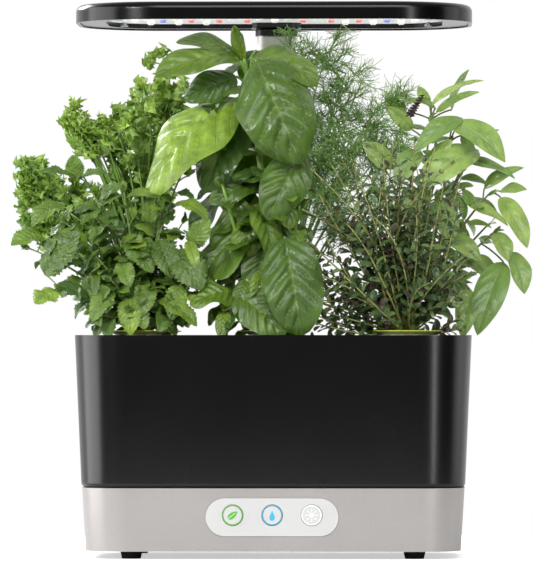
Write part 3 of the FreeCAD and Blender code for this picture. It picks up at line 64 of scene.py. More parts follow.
eye_tilt = math.radians(90.548)
eye_turn = math.radians(1.5)
camera = bpy.data.objects.new("long_lens", eye)
camera.location = (0.0982, -3.9618, 0.146)
camera.rotation_euler = (eye_tilt, 0.0, eye_turn)
bpy.context.scene.collection.objects.link(camera)
bpy.context.scene.camera = camera
bpy.context.scene.view_settings.view_transform = "Standard"


# The counter and the studio round it: a matt white top, a white wall behind, soft boxes to both
# sides, in front and behind, and a dark room in front that keeps the black bowl black.
def linear(code):
    """The linear red, green, blue and alpha of an sRGB colour written as six hex digits."""
    parts = np.array([int(code[i:i + 2], 16) / 255.0 for i in (0, 2, 4)])
    straight = np.where(parts <= 0.04045, parts / 12.92, ((parts + 0.055) / 1.055) ** 2.4)
    return (*straight.tolist(), 1.0)


def node(tree, kind, inputs=(), **settings):
    """Adds a node with its settings, and gives its inputs a value, an output or another node's first output.

    Inputs go by name or number, or in order: a range is value, low, high, and what these become.
    """
    made = tree.nodes.new("ShaderNode" + kind)
    for name, value in settings.items():
        setattr(made, name, value)
    for name, value in inputs.items() if isinstance(inputs, dict) else enumerate(inputs):
        if isinstance(value, bpy.types.Node):
            value = value.outputs[0]
        if isinstance(value, bpy.types.NodeSocket):
            tree.links.new(value, made.inputs[name])
        else:
            made.inputs[name].default_value = value
    return made


def surface(name, vertices, faces):
    """A smooth piece from points in millimetres and faces, given as arrays or lists."""
    mesh = bpy.data.meshes.new(name)
    points = np.asarray(vertices, float).reshape(-1, 3) / 1000.0
    mesh.from_pydata(points, [], faces, shade_flat=False)
    mesh.update()
    piece = bpy.data.objects.new(name, mesh)
    bpy.context.scene.collection.objects.link(piece)
    return piece


def grid_faces(rows, columns):
    """The quads of a grid of points stored row by row."""
    at = np.arange(rows * columns).reshape(rows, columns)
    return np.stack([at[:-1, :-1], at[:-1, 1:], at[1:, 1:], at[1:, :-1]], -1).reshape(-1, 4)


def material(name):
    """An empty material, its node tree and the place of a point on the object in metres."""
    made = bpy.data.materials.new(name)
    made.use_nodes = True
    made.node_tree.nodes.clear()
    where = node(made.node_tree, "TexCoord").outputs["Object"]
    return made, made.node_tree, where


def seen_straight(tree):
    """The light path, and a node that is one where the camera sees, directly or through glass."""
    path = node(tree, "LightPath")
    straight = (path.outputs["Is Camera Ray"], path.outputs["Is Transmission Ray"])
    return path, node(tree, "Math", straight, operation="MAXIMUM")


counter_reach = 450.0
reach, turn = np.meshgrid(np.linspace(0.02, 1, 24) ** 2, np.linspace(0, 2 * np.pi, 73), indexing="ij")
disc = np.stack([counter_reach * reach * np.cos(turn), counter_reach * reach * np.sin(turn), 0 * reach], -1)
counter = surface("counter", disc, grid_faces(24, 73))
# Matt laminate: it takes a soft shadow, and away from the garden it fades into the white wall.
laminate, tree, where = material("matt_laminate")
far = node(tree, "VectorMath", (where,), operation="LENGTH").outputs["Value"]
fade = node(tree, "MapRange", (far, 0.10, 0.42, 0.55, 1.0))
path, seen = seen_straight(tree)
glow = node(tree, "Math", (fade, seen), operation="MULTIPLY")
grit = node(tree, "TexNoise", {"Vector": where, "Scale": 900.0, "Detail": 3.0})
rough = node(tree, "MapRange", (grit, 0.0, 1.0, 0.6, 0.8))
top = node(tree, "BsdfPrincipled", {"Base Color": linear("d9d9d8"), "Roughness": rough,
                                    "Emission Color": (1, 1, 1, 1), "Emission Strength": glow})
node(tree, "OutputMaterial", {"Surface": top})
counter.data.materials.append(laminate)

world = bpy.data.worlds.new("studio")
bpy.context.scene.world = world
world.use_nodes = True
tree = world.node_tree
tree.nodes.clear()
way = node(tree, "TexCoord").outputs["Generated"]
parts = node(tree, "SeparateXYZ", (way,))
# white wall behind (+Y), dark room in front, soft light from above
wall = node(tree, "MapRange", (parts.outputs["Y"], -0.15, 0.45, 0.03, 0.5))
ceiling = node(tree, "MapRange", (parts.outputs["Z"], 0.25, 0.95, 0.0, 0.45))
room = node(tree, "Math", (wall, ceiling), operation="MAXIMUM")
path, seen = seen_straight(tree)
# metal and glossy edges show the white wall too, but only behind the garden
behind = node(tree, "MapRange", (parts.outputs["Y"], 0.2, 0.6))
mirrored = node(tree, "Math", (path.outputs["Is Glossy Ray"], behind), operation="MULTIPLY")
seen = node(tree, "Math", (seen, mirrored), operation="MAXIMUM")
strength = node(tree, "Mix", {0: seen, 2: room, 3: 1.0})
sky = node(tree, "Background", {"Color": (1, 1, 1, 1), "Strength": strength})
node(tree, "OutputWorld", {"Surface": sky})


def soft_box(name, place, aim_height, width, height, watts):
    """A white rectangular lamp at a place in metres, facing a point that high over the origin."""
    lamp = bpy.data.lights.new(name, "AREA")
    lamp.shape = "RECTANGLE"
    lamp.size, lamp.size_y = width, height
    lamp.energy = watts
    holder = bpy.data.objects.new(name, lamp)
    away = np.array(place) - np.array([0.0, 0.0, aim_height])
    away /= np.linalg.norm(away)
    side = np.cross([0.0, 0.0, 1.0], away)
    side /= np.linalg.norm(side)
    turn = np.eye(4)
    turn[:3, 0], turn[:3, 1], turn[:3, 2], turn[:3, 3] = side, np.cross(away, side), away, place
    holder.matrix_world = Matrix(turn.tolist())
    bpy.context.scene.collection.objects.link(holder)


soft_box("left_box", (-1.5, -0.12, 0.4), 0.2, 1.3, 1.3, 22.0)
soft_box("right_strip", (0.92, -1.37, 0.35), 0.2, 0.16, 1.3, 5.6)
soft_box("front_wide", (0.3, -1.7, 1.3), 0.18, 1.5, 0.8, 26.0)
soft_box("front_left_key", (-1.0, -1.5, 0.8), 0.25, 0.45, 0.45, 21.0)
soft_box("back_left_high", (-1.1, 1.1, 0.95), 0.25, 0.6, 0.6, 20.0)
soft_box("right_low", (1.7, 0.2, 0.5), 0.2, 0.8, 1.2, 3.8)


# Base: an injection moulded ABS shell, painted a warm satin silver, over a black plate with four
# feet. Its sides widen a little towards the seam, where the bowl stands in it.
def wear(made, *names):
    """Gives every slot of the named CAD pieces this material."""
    for name in names:
        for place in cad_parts[name].material_slots:
            place.material = made


def skinned(tree, height, strength, distance, inputs):
    """Ends a material: a skin with these inputs over bumps that follow height, distance metres high."""
    lift = node(tree, "Bump", {"Height": height, "Strength": strength, "Distance": distance})
    skin = node(tree, "BsdfPrincipled", {**inputs, "Normal": lift})
    node(tree, "OutputMaterial", {"Surface": skin})


def moulded(name, colour, deep, roughness, grain, depth, metal=0.0, gloss=0.5):
    """Moulded plastic: a colour that drifts towards a deeper one, and a spark-eroded grain.

    grain is the size of its bumps and depth their height, both in millimetres.
    """
    made, tree, where = material(name)
    drift = node(tree, "TexNoise", {"Vector": where, "Scale": 11.0, "Detail": 4.0, "Roughness": 0.6})
    speck = node(tree, "TexNoise", {"Vector": where, "Scale": 1000.0 / grain, "Detail": 2.0})
    share = node(tree, "Math", (drift, speck), operation="MULTIPLY")
    shade = node(tree, "MapRange", (share, 0.12, 0.42))
    paint = node(tree, "Mix", {0: shade, 6: linear(deep), 7: linear(colour)}, data_type="RGBA")
    rub = node(tree, "MapRange", (drift, 0.0, 1.0, roughness * 0.88, roughness * 1.12))
    skinned(tree, speck, 0.5, depth / 1000.0, {"Base Color": paint.outputs[2], "Roughness": rub,
                                               "Metallic": metal, "Specular IOR Level": gloss})
    return made


# Satin silver paint on ABS: the mica in it makes the face a little metallic and finely grained.
silver_paint = moulded("satin_silver_painted_abs", "aca8a6", "9f9b99", 0.36, 0.5, 0.012, metal=0.3)
wear(silver_paint, "base_shell")
# Polypropylene with a dull spark grain: the plate and the parts in the water stay grey black.
dull_black = moulded("spark_grained_black_polypropylene", "17181a", "0f1011", 0.55, 0.7, 0.03)
wear(dull_black, "bottom_plate", "tact_switches", "power_jack", "coil_bracket", "impeller", "pump_cover",
     "riser_tube", "float_clip", "mast_glide")
# Soft rubber feet: a chalky, nearly matt black.
wear(moulded("moulded_black_rubber", "1b1b1c", "101011", 0.78, 0.4, 0.02, gloss=0.3), "rubber_feet")
# Zinc plated steel: a bluish grey metal, finely grained.
zinc = moulded("zinc_plated_steel", "b9bcc0", "9a9ea4", 0.32, 0.3, 0.006, metal=1.0)
wear(zinc, "case_screws", "hood_screws", "level_sensor", "impeller_shaft")


# Circuit boards, coil, filter and float: the works inside the base and under the pump cover.
# Green solder mask on glass epoxy, enamelled copper wire, open foam and a white float.
board, tree, where = material("green_solder_mask")
# copper tracks 0.6 mm apart show through the mask as paler lines
tracks = node(tree, "TexBrick", {"Vector": where, "Scale": 260.0, "Mortar Size": 0.02,
                                 "Color1": linear("0b4a2a"), "Color2": linear("0e5a33"),
                                 "Mortar": linear("3f8a55")})
skinned(tree, tracks.outputs["Fac"], 0.4, 0.00004, {"Base Color": tracks.outputs["Color"],
                                                    "Roughness": 0.35})
wear(board, "switch_board", "main_board", "led_driver")
copper, tree, where = material("enamelled_copper_wire")
# 0.5 mm wire lies in level turns
turns = node(tree, "TexWave", {"Vector": where, "Scale": 630.0, "Distortion": 0.2}, bands_direction="Z")
hue = node(tree, "Mix", {0: turns.outputs["Fac"], 6: linear("7a3c16"), 7: linear("c8783a")},
           data_type="RGBA")
skinned(tree, turns.outputs["Fac"], 0.8, 0.0002, {"Base Color": hue.outputs[2], "Roughness": 0.3,
                                                  "Metallic": 0.9})
wear(copper, "pump_coil")
foam, tree, where = material("open_cell_foam")
# cells 1.2 mm wide
cells = node(tree, "TexVoronoi", {"Vector": where, "Scale": 830.0})
hue = node(tree, "Mix", {0: cells, 6: linear("0c0c0d"), 7: linear("3a3a3c")}, data_type="RGBA")
skinned(tree, cells, 1.0, 0.0006, {"Base Color": hue.outputs[2], "Roughness": 0.95})
wear(foam, "foam_filter")
# White polypropylene: milky, with a soft shine and a drift of grey.
white_plastic = moulded("milky_white_polypropylene", "e4e6df", "cfd2c9", 0.42, 0.9, 0.02)
wear(white_plastic, "float_ring")


# Control panel: a pale film with two domed buttons and a fixed lens between them, on the sloping
# front. Each has a printed ring, and in it a leaf for food, a drop for water and a sun for light.
wear(moulded("matt_printed_polyester_film", "c6c6c5", "bfbfbe", 0.42, 0.35, 0.004), "control_overlay",
     "plant_food_button", "light_button", "water_lens")
# the front face leans by the shell's draft below the seam; the panel's middle is 28 mm up
base_draft = math.radians(3.39)
seam_level, seam_face, panel_level = 47.3, -70.65, 28.0
# from button to lens and up from the panel's middle, and how far each stands out of the face
button_pitch, button_lift, button_top, lens_top = 26.3, 1.5, 0.8, 0.5
panel_face = seam_face + (seam_level - panel_level) * math.tan(base_draft)


def on_face(x, y, out):
    """Places on the sloping front face: across, up the face from the panel's middle, and out of it."""
    x, y, out = np.broadcast_arrays(x, y, out)
    return np.stack([x, panel_face - y * math.sin(base_draft) - out * math.cos(base_draft),
                     panel_level + y * math.cos(base_draft) - out * math.sin(base_draft)], -1)


def inked(name, points, faces, ink, body):
    """A print on the panel, of this ink, that rides on the body."""
    piece = surface(name, points, faces)
    piece.data.materials.append(ink)
    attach(piece, body)


def printed(name, outlines, level, ink, body):
    """Ink on the panel, 0.06 mm proud, filled by rings drawn in from each outline to its middle.

    Two rings stand at full height and two just under the film; the outline itself lies between.
    """
    points, faces, first = [], [], 0
    for outline in outlines:
        middle = outline.mean(0)
        shares = np.array([0.45, 0.9, 1.0, 0.9, 0.45])
        heights = np.array([0.06, 0.06, 0.01, -0.03, -0.03]) + level
        spread = middle + shares[:, None, None] * (outline - middle)
        loops = on_face(spread[..., 0], spread[..., 1], heights[:, None])
        ends = on_face(middle[0], middle[1], np.array([0.06, -0.03]) + level)
        count = len(outline)
        step = np.arange(count)
        after = (step + 1) % count
        for row in range(4):
            at = first + row * count
            faces += np.stack([at + step, at + count + step, at + count + after, at + after], 1).tolist()
        last = first + 5 * count
        faces += np.stack([np.full(count, last), first + step, first + after], 1).tolist()
        under = last - count
        faces += np.stack([np.full(count, last + 1), under + after, under + step], 1).tolist()
        points += [loops.reshape(-1, 3), ends]
        first = last + 2
    inked(name, np.concatenate(points), faces, ink, body)


def ring_print(name, x, level, ink, body):
    """A printed circle 13.6 mm across: a flat section 0.5 mm wide carried round the button's middle."""
    turn = np.linspace(0, 2 * np.pi, 97)[:-1]
    reach = np.array([6.0, 6.15, 6.65, 6.8, 6.4])[:, None]
    rise = np.array([0.0, 0.06, 0.06, 0.0, -0.03])[:, None] + level
    ring = on_face(x + reach * np.cos(turn), button_lift + reach * np.sin(turn), rise)
    at = np.arange(5 * 96).reshape(5, 96)
    up, on = np.roll(at, -1, 0), np.roll(at, -1, 1)
    inked(name, ring, np.stack([at, up, np.roll(up, -1, 1), on], -1).reshape(-1, 4), ink, body)


def turned(x, along, across, angle):
    """An outline at x on the panel, of lengths along and across an axis turned by an angle."""
    return np.stack([x + along * math.cos(angle) - across * math.sin(angle),
                     button_lift + along * math.sin(angle) + across * math.cos(angle)], 1)


# Screen printed enamel ink: an even colour, a little glossier than the film and faintly orange peeled.
inks = {"green": ("5fae3c", "56a336"), "pale_green": ("cfe6bd", "c3dcb0"), "blue": ("2a9cc4", "2491b8"),
        "cyan": ("3db4e4", "35a8da"), "white": ("fafafa", "f3f3f3")}
for name, (colour, deep) in inks.items():
    inks[name] = moulded(name + "_screen_ink", colour, deep, 0.3, 0.3, 0.003)
ring_print("plant_food_ring", -button_pitch, button_top, inks["green"], "plant_food_button")
ring_print("water_ring", 0.0, lens_top, inks["blue"], "garden")
ring_print("light_ring", button_pitch, button_top, inks["white"], "light_button")
# leaf: two arcs that meet at a point, leaning right, with a pale rib
turn = np.linspace(0, 2 * np.pi, 49)[:-1]
lean = math.radians(38)
belly = 2.0 * np.sin(turn) * (1.0 - 0.25 * np.cos(turn)) * np.abs(np.sin(turn)) ** 0.35
leaf = turned(-button_pitch, 3.9 * np.cos(turn), belly, lean)
printed("plant_food_leaf", [leaf], button_top, inks["green"], "plant_food_button")
rib = turned(-button_pitch, 3.6 * np.cos(turn) - 0.9, 0.22 * np.sin(turn), lean)
printed("plant_food_rib", [rib], button_top + 0.06, inks["pale_green"], "plant_food_button")
# drop: a circle drawn out to a point above
drop = np.stack([2.6 * np.sin(turn) * np.sin(turn / 2) ** 1.6, button_lift + 3.4 * np.cos(turn) - 0.2], 1)
printed("water_drop", [drop], lens_top, inks["cyan"], "garden")
# sun: a disc and eight short rays
sun = [turned(button_pitch, 1.75 * np.cos(turn), 1.75 * np.sin(turn), 0.0)]
for ray in range(8):
    along, over = 3.35 + 0.85 * np.cos(turn[::3]), 0.33 * np.sin(turn[::3])
    sun.append(turned(button_pitch, along, over, ray * math.pi / 4))
printed("light_sun", sun, button_top, inks["white"], "light_button")
wear(moulded("frosted_clear_acrylic", "e9edf0", "dde2e6", 0.25, 0.4, 0.004), "indicator_leds")


# Bowl and grow deck: thick black ABS, satin with a fine spark grain that shows as glitter where a
# soft box is mirrored in the rounded corners. The deck drops into the rim, and the lid is hinged.
black_abs = moulded("satin_black_abs", "060607", "030304", 0.27, 0.65, 0.03, gloss=0.5)
wear(black_abs, "bowl", "grow_deck", "fill_lid", "mast_tower")
herbs = ("parsley", "mint", "basil", "dill", "lemon_basil", "thyme")
wear(white_plastic, *["basket_" + herb for herb in herbs])
# Peat sponge: dark crumbs bound in brown foam, damp and nearly matt.
peat, tree, where = material("bound_peat_sponge")
crumbs = node(tree, "TexVoronoi", {"Vector": where, "Scale": 520.0})
dust = node(tree, "TexNoise", {"Vector": where, "Scale": 240.0, "Detail": 5.0})
hue = node(tree, "Mix", {0: dust, 6: linear("1d120b"), 7: linear("5b3d26")}, data_type="RGBA")
skinned(tree, crumbs, 1.0, 0.0012, {"Base Color": hue.outputs[2], "Roughness": 0.8})
wear(peat, "grow_sponges")
# Coated card labels: yellow green print with paper fibre showing as paler flecks.
card, tree, where = material("coated_printed_card")
fibre = node(tree, "TexNoise", {"Vector": where, "Scale": 420.0, "Detail": 4.0})
drift = node(tree, "TexNoise", {"Vector": where, "Scale": 35.0})
share = node(tree, "Math", (fibre, drift), operation="MULTIPLY")
shade = node(tree, "MapRange", (share, 0.12, 0.42))
hue = node(tree, "Mix", {0: shade, 6: linear("b5c23a"), 7: linear("d3dd62")}, data_type="RGBA")
skinned(tree, fibre, 0.4, 0.0001, {"Base Color": hue.outputs[2], "Roughness": 0.5})
wear(card, *["label_" + herb for herb in herbs])


# Mast: a drawn aluminium tube, satin anodised, that slides in the tower; a black inner mast slides
# in the tube, and the collar between them is moulded.
anodised, tree, where = material("satin_anodised_drawn_aluminium")
# die lines run up the tube, so the noise is drawn out along z; 0.4 mm apart
stretch = node(tree, "Mapping", {"Vector": where, "Scale": (2500.0, 2500.0, 12.0)})
lines = node(tree, "TexNoise", {"Vector": stretch, "Scale": 1.0, "Detail": 3.0})
hue = node(tree, "Mix", {0: lines, 6: linear("c3c1bf"), 7: linear("e2e0de")}, data_type="RGBA")
rub = node(tree, "MapRange", (lines, 0.0, 1.0, 0.44, 0.6))
skinned(tree, lines, 0.3, 0.00003, {"Base Color": hue.outputs[2], "Metallic": 1.0, "Roughness": rub})
wear(anodised, "mast_tube")
wear(black_abs, "mast_collar", "inner_mast", "hood_flange")


# Lamp lead: a stretching cable in a black sheath, inside the mast. In the garden it is fixed to the base at
# its foot, to the tube half way up and to the hood at its top; here it is drawn as two straight halves that
# meet 215 mm up, and neither half is attached to those parts.
def unit(rows):
    """Each row scaled to length one."""
    return rows / np.maximum(np.linalg.norm(rows, axis=-1, keepdims=True), 1e-9)


def across(run, climb):
    """Two directions square to each run and to each other, measured from x where the climb is steep."""
    guide = np.where(np.abs(climb) > 0.9, [1.0, 0, 0], [0, 0, 1.0])
    side = unit(np.cross(run, guide))
    return side, np.cross(run, side)


def repeated(name, finish, points, three):
    """A piece of many alike bodies: a row of points for each, and the triangles of the first."""
    count, size = points.shape[:2]
    piece = surface(name, points, (three[None] + (np.arange(count) * size)[:, None, None]).reshape(-1, 3))
    piece.data.materials.append(finish)
    return piece


def tube_piece(name, slot, finish, paths, thick, thin, sides=5):
    """Round stalks as one mesh, from one radius at the foot to another at the tip.

    Each path is a row of points. A ring stands square to it at every point, and a single point
    closes the stalk at both ends.
    """
    count, steps = paths.shape[:2]
    run = unit(np.gradient(paths, axis=1))
    side, rise = across(run, run[:, :1, 2:])
    angle = np.linspace(0, 2 * np.pi, sides + 1)[:-1, None]
    radius = np.linspace(thick, thin, steps)[:, None, None]
    rings = paths[:, :, None] + radius * (side[:, :, None] * np.cos(angle) + rise[:, :, None] * np.sin(angle))
    points = np.concatenate([rings.reshape(count, -1, 3), paths[:, :1], paths[:, -1:]], 1)
    at = np.arange(steps * sides).reshape(steps, sides)
    on = np.roll(at, -1, 1)
    quads = np.stack([at[:-1], on[:-1], on[1:], at[1:]], -1).reshape(-1, 4)
    foot = np.stack([np.full(sides, steps * sides), at[0], on[0]], 1)
    head = np.stack([np.full(sides, steps * sides + 1), on[-1], at[-1]], 1)
    three = np.concatenate([quads[:, [0, 2, 1]], quads[:, [0, 3, 2]], foot, head])
    return repeated(name, finish, points, three)


sheath = moulded("black_pvc_sheath", "141415", "0d0d0e", 0.5, 0.5, 0.01)
lead_foot, lead_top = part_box("lamp_lead")
lead_middle, lead_radius, mast_y = 0.215, 2.5, 0.054
halves = (("lower", lead_foot[2], lead_middle, ("garden", "outer_mast")),
          ("upper", lead_middle, lead_top[2], ("outer_mast", "lamp_hood")))
for half, low, high, bodies in halves:
    rise = np.linspace(low, high, 40) * 1000
    lead_path = np.stack([0 * rise, 0 * rise + mast_y * 1000, rise], 1)[None]
    lead_piece = tube_piece("lamp_lead_" + half, "lead_black", sheath, lead_path, lead_radius,
                            lead_radius, 12)
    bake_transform(lead_piece)
    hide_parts("lamp_lead")


# Lamp hood: a shallow black housing, smoother than the bowl, with a bezel round a white board that
# carries five millimetre lamps: clear domes, and rows of red ones with blue at the ends.
hood_abs = moulded("polished_black_abs", "060607", "040404", 0.22, 0.8, 0.01, gloss=0.3)
wear(hood_abs, "hood_housing", "hood_bezel")


def lamp_plastic(name, colour, glow, roughness):
    """Clear or dyed epoxy, or white lacquer: it glows in its own colour behind an uneven skin. The white
    board is no lamp, so its glow is painted light.
    """
    made, tree, where = material(name)
    cup = node(tree, "TexNoise", {"Vector": where, "Scale": 700.0, "Detail": 2.0})
    hue = node(tree, "Mix", {0: cup, 6: linear(colour), 7: linear("ffffff")}, data_type="RGBA")
    skinned(tree, cup, 0.2, 0.0001, {"Base Color": hue.outputs[2], "Roughness": roughness,
                                     "Emission Color": linear(colour), "Emission Strength": glow,
                                     "Coat Weight": 0.5})
    return made


# the white board is no lamp: its emission is painted light, standing in for the lamps' light falling on it
wear(lamp_plastic("white_solder_mask_painted_glow", "f2f3f5", 0.8, 0.45), "led_board")
wear(lamp_plastic("clear_epoxy_lens", "f6f4ee", 0.5, 0.12), "white_leds")
wear(lamp_plastic("red_epoxy_lens", "ef4a3e", 0.45, 0.15), "red_leds")
wear(lamp_plastic("blue_epoxy_lens", "3f63e6", 0.45, 0.15), "blue_leds")


# Basil: the tallest plant, broad glossy leaves puckered between the veins, on green stems. It is
# rooted in the front middle sponge.
blade_thickness = 0.35


def leaf_piece(name, finish, base, tip, face, width, age, shape, seed):
    """Many leaves of one kind as one mesh, each a closed blade that thins to nothing at its rim.

    A blade is a grid, u from base to tip and v from edge to edge. The rib is a parabola over the
    straight line from base to tip, as high as lift times its length. Half the width at u is
    u^rise (1 - u)^fall, scaled to one, times half the width, with teeth that go out and in from
    row to row. From the rib the blade goes up by fold times the width, up or down by cup times
    the width times v squared, in waves that grow towards the edge, and in puckers between side
    veins that run forward from the rib; along the rib lies a groove. Towards its tip the blade
    turns about the rib by up to twist radians.
    """
    draw = np.random.default_rng(seed)
    count, rows, columns = len(base), shape["rows"], shape["columns"]
    u = np.linspace(0, 1, rows)[None, :, None]
    v = np.linspace(-1, 1, columns)[None, None, :]
    rib = tip - base
    length = np.linalg.norm(rib, axis=1)[:, None, None]
    side = unit(np.cross(rib, face))
    out = unit(np.cross(side, rib))
    lift = np.broadcast_to(shape["lift"], count)[:, None, None]
    fold = np.broadcast_to(shape["fold"], count)[:, None, None]
    middle = base[:, None] + rib[:, None] * u + out[:, None] * (length * lift * 4 * u * (1 - u))
    run = unit(rib[:, None] + out[:, None] * (length * lift * 4 * (1 - 2 * u)))
    twist = (draw.uniform(-1, 1, count) * shape["twist"])[:, None, None] * u
    side = np.broadcast_to(side[:, None], run.shape)
    up = np.cross(side, run)
    side, up = side * np.cos(twist) + up * np.sin(twist), up * np.cos(twist) - side * np.sin(twist)
    peak = shape["rise"] / (shape["rise"] + shape["fall"])
    full = peak ** shape["rise"] * (1 - peak) ** shape["fall"]
    teeth = 1 + shape["bite"] * np.where(np.arange(rows) % 2, 0.5, -0.5)[None, :, None]
    teeth[:, [0, -1]] = 1
    half = width[:, None, None] / 2 * (u ** shape["rise"] * (1 - u) ** shape["fall"] / full) * teeth
    phase = draw.uniform(0, 2 * np.pi, (count, 1, 1))
    wave = shape["wave"] * draw.uniform(0.5, 1.3, (count, 1, 1))
    veins = np.abs(np.sin(np.pi * shape["veins"] * (u - 0.30 * np.abs(v)) + 0.4))
    height = half * (fold * np.abs(v) + shape["cup"] * draw.uniform(0.4, 1.4, (count, 1, 1)) * v ** 2
                     + wave * v ** 2 * np.sin(2 * np.pi * shape["waves"] * u + phase + 1.9 * (v > 0))
                     + shape["quilt"] * (veins ** 0.6 - 0.6) * (1 - v ** 4) - 0.07 * np.exp(-(v / 0.10) ** 2))
    over = half * v * (1 - 0.25 * fold ** 2)
    top = middle[:, :, None] + side[:, :, None] * over[..., None] + up[:, :, None] * height[..., None]
    edge = (1 - np.abs(v) ** 8) * np.minimum(1, 12 * u * (1 - u))
    below = top - up[:, :, None] * (blade_thickness * edge)[..., None]
    size = rows * columns
    upper = np.arange(size).reshape(rows, columns)
    lower = upper + size
    for grid in (upper, lower):
        grid[0], grid[-1] = 0, size - 1
    lower[:, 0], lower[:, -1] = upper[:, 0], upper[:, -1]
    quads = grid_faces(rows, columns)
    quads = np.concatenate([upper.ravel()[quads], lower.ravel()[quads[:, ::-1]]])
    three = np.concatenate([quads[:, [0, 1, 2]], quads[:, [0, 2, 3]]])
    three = three[(three[:, 0] != three[:, 1]) & (three[:, 1] != three[:, 2]) & (three[:, 0] != three[:, 2])]
    used, three = np.unique(three, return_inverse=True)
    three = three.reshape(-1, 3)
    points = np.concatenate([top.reshape(count, size, 3), below.reshape(count, size, 3)], 1)[:, used]
    piece = repeated(name, finish, points, three)
    mesh = piece.data
    place = np.stack(np.meshgrid(np.linspace(0, 1, rows), np.linspace(0, 1, columns), indexing="ij"), -1)
    place = place.reshape(-1, 2)
    place = np.tile(np.concatenate([place, place])[used], (count, 1))
    corner = np.empty(len(mesh.loops), int)
    mesh.loops.foreach_get("vertex_index", corner)
    mesh.uv_layers.new(name="blade").data.foreach_set("uv", place[corner].ravel())
    under = np.tile((used >= size).astype(float), count)
    chance = np.repeat(draw.uniform(0, 1, count), len(used))
    tint = np.stack([chance, np.repeat(age, len(used)), under, np.ones_like(under)], 1)
    mesh.attributes.new("tint", "FLOAT_COLOR", "POINT").data.foreach_set("color", tint.ravel())
    rim = np.tile(np.isin(used, np.concatenate([upper[:, 0], upper[:, -1]])), count)
    ends = np.empty(2 * len(mesh.edges), int)
    mesh.edges.foreach_get("vertices", ends)
    ends = rim[ends.reshape(-1, 2)].all(1)
    mesh.attributes.new("sharp_edge", "BOOLEAN", "EDGE").data.foreach_set("value", ends)
    return piece


def leaf_skin(name, greens, roughness, side_veins, vein_share, bump, coat, purple=0.0):
    """A living leaf: a waxy skin over green flesh that lets light through.

    greens are the colours of young flesh, old flesh, deep patches, veins, the underside and the
    light that comes through. side_veins is how many pairs leave the rib, as in the blade's shape.
    Age and chance come from the blade's own attribute, and the underside is paler. purple is how
    strongly the leaves with a low chance are stained.
    """
    young, old, deep, vein, back, light = [linear(code) for code in greens.split()]
    made, tree, where = material(name)
    blade = node(tree, "UVMap", uv_map="blade").outputs[0]
    spot = node(tree, "SeparateXYZ", (blade,))
    tint = node(tree, "Attribute", attribute_name="tint").outputs["Color"]
    tint = node(tree, "SeparateColor", (tint,))
    off = node(tree, "Math", (spot.outputs["Y"], 0.5), operation="SUBTRACT")
    off = node(tree, "Math", (off,), operation="ABSOLUTE")
    rib = node(tree, "MapRange", (off, 0.006, 0.028, 1.0, 0.0))
    slant = node(tree, "Math", (off, -0.60, spot.outputs["X"]), operation="MULTIPLY_ADD")
    turn = node(tree, "Math", (slant, math.pi * side_veins, 0.4), operation="MULTIPLY_ADD")
    turn = node(tree, "Math", (turn,), operation="SINE")
    turn = node(tree, "Math", (turn,), operation="ABSOLUTE")
    branch = node(tree, "MapRange", (turn, 0.02, 0.13, 1.0, 0.0))
    mesh_lines = node(tree, "TexVoronoi", {"Vector": where, "Scale": 420.0}, feature="DISTANCE_TO_EDGE")
    fine = node(tree, "MapRange", (mesh_lines, 0.0, 0.16, 0.22, 0.0))
    drawn = node(tree, "Math", (rib, branch), operation="MAXIMUM")
    drawn = node(tree, "Math", (drawn, fine), operation="MAXIMUM")
    lines = node(tree, "Math", (drawn, vein_share), operation="MULTIPLY")
    cloud = node(tree, "TexNoise", {"Vector": where, "Scale": 95.0, "Detail": 5.0, "Roughness": 0.62})
    years = node(tree, "Mix", {0: tint.outputs["Green"], 6: old, 7: young}, data_type="RGBA")
    patch = node(tree, "MapRange", (cloud, 0.38, 0.68, 0.55, 0.0))
    flesh = node(tree, "Mix", {0: patch, 6: years.outputs[2], 7: deep}, data_type="RGBA")
    luck = node(tree, "MapRange", (tint.outputs["Red"], 0.55, 1.0, 0.0, 0.55))
    flesh = node(tree, "Mix", {0: luck, 6: flesh.outputs[2], 7: deep}, data_type="RGBA")
    if purple:
        stain = node(tree, "MapRange", (tint.outputs["Red"], 0.22, 0.1, 0.0, purple))
        flesh = node(tree, "Mix", {0: stain, 6: flesh.outputs[2], 7: linear("4a2438")}, data_type="RGBA")
    hue = node(tree, "Mix", {0: lines, 6: flesh.outputs[2], 7: vein}, data_type="RGBA")
    pale = node(tree, "Math", (tint.outputs["Blue"], 0.6), operation="MULTIPLY")
    hue = node(tree, "Mix", {0: pale, 6: hue.outputs[2], 7: back}, data_type="RGBA")
    rub = node(tree, "MapRange", (cloud, 0.0, 1.0, roughness * 0.8, roughness * 1.25))
    grain = node(tree, "TexNoise", {"Vector": where, "Scale": 1500.0, "Detail": 2.0})
    relief = node(tree, "Math", (drawn, -0.8, grain), operation="MULTIPLY_ADD")
    lift = node(tree, "Bump", {"Height": relief, "Strength": 0.7, "Distance": bump / 1000.0})
    skin = node(tree, "BsdfPrincipled", {"Base Color": hue.outputs[2], "Roughness": rub,
                                         "Coat Weight": coat, "Coat Roughness": 0.2, "Normal": lift})
    glow = node(tree, "Mix", {0: 0.6, 6: hue.outputs[2], 7: light}, data_type="RGBA")
    through = node(tree, "BsdfTranslucent", {"Color": glow.outputs[2], "Normal": lift})
    both = node(tree, "MixShader", (0.3, skin, through))
    node(tree, "OutputMaterial", {"Surface": both})
    return made


def stalk_skin(name, colour, deep, roughness=0.45):
    """A green stem: a waxy skin with faint lengthwise streaks of a deeper green."""
    made, tree, where = material(name)
    stretch = node(tree, "Mapping", {"Vector": where, "Scale": (1400.0, 1400.0, 60.0)})
    streak = node(tree, "TexNoise", {"Vector": stretch, "Scale": 1.0, "Detail": 3.0})
    hue = node(tree, "Mix", {0: streak, 6: linear(deep), 7: linear(colour)}, data_type="RGBA")
    skinned(tree, streak, 0.5, 0.0001, {"Base Color": hue.outputs[2], "Roughness": roughness})
    return made


pod_column, pod_row, deck_level = 89.0, 38.0, 149.0
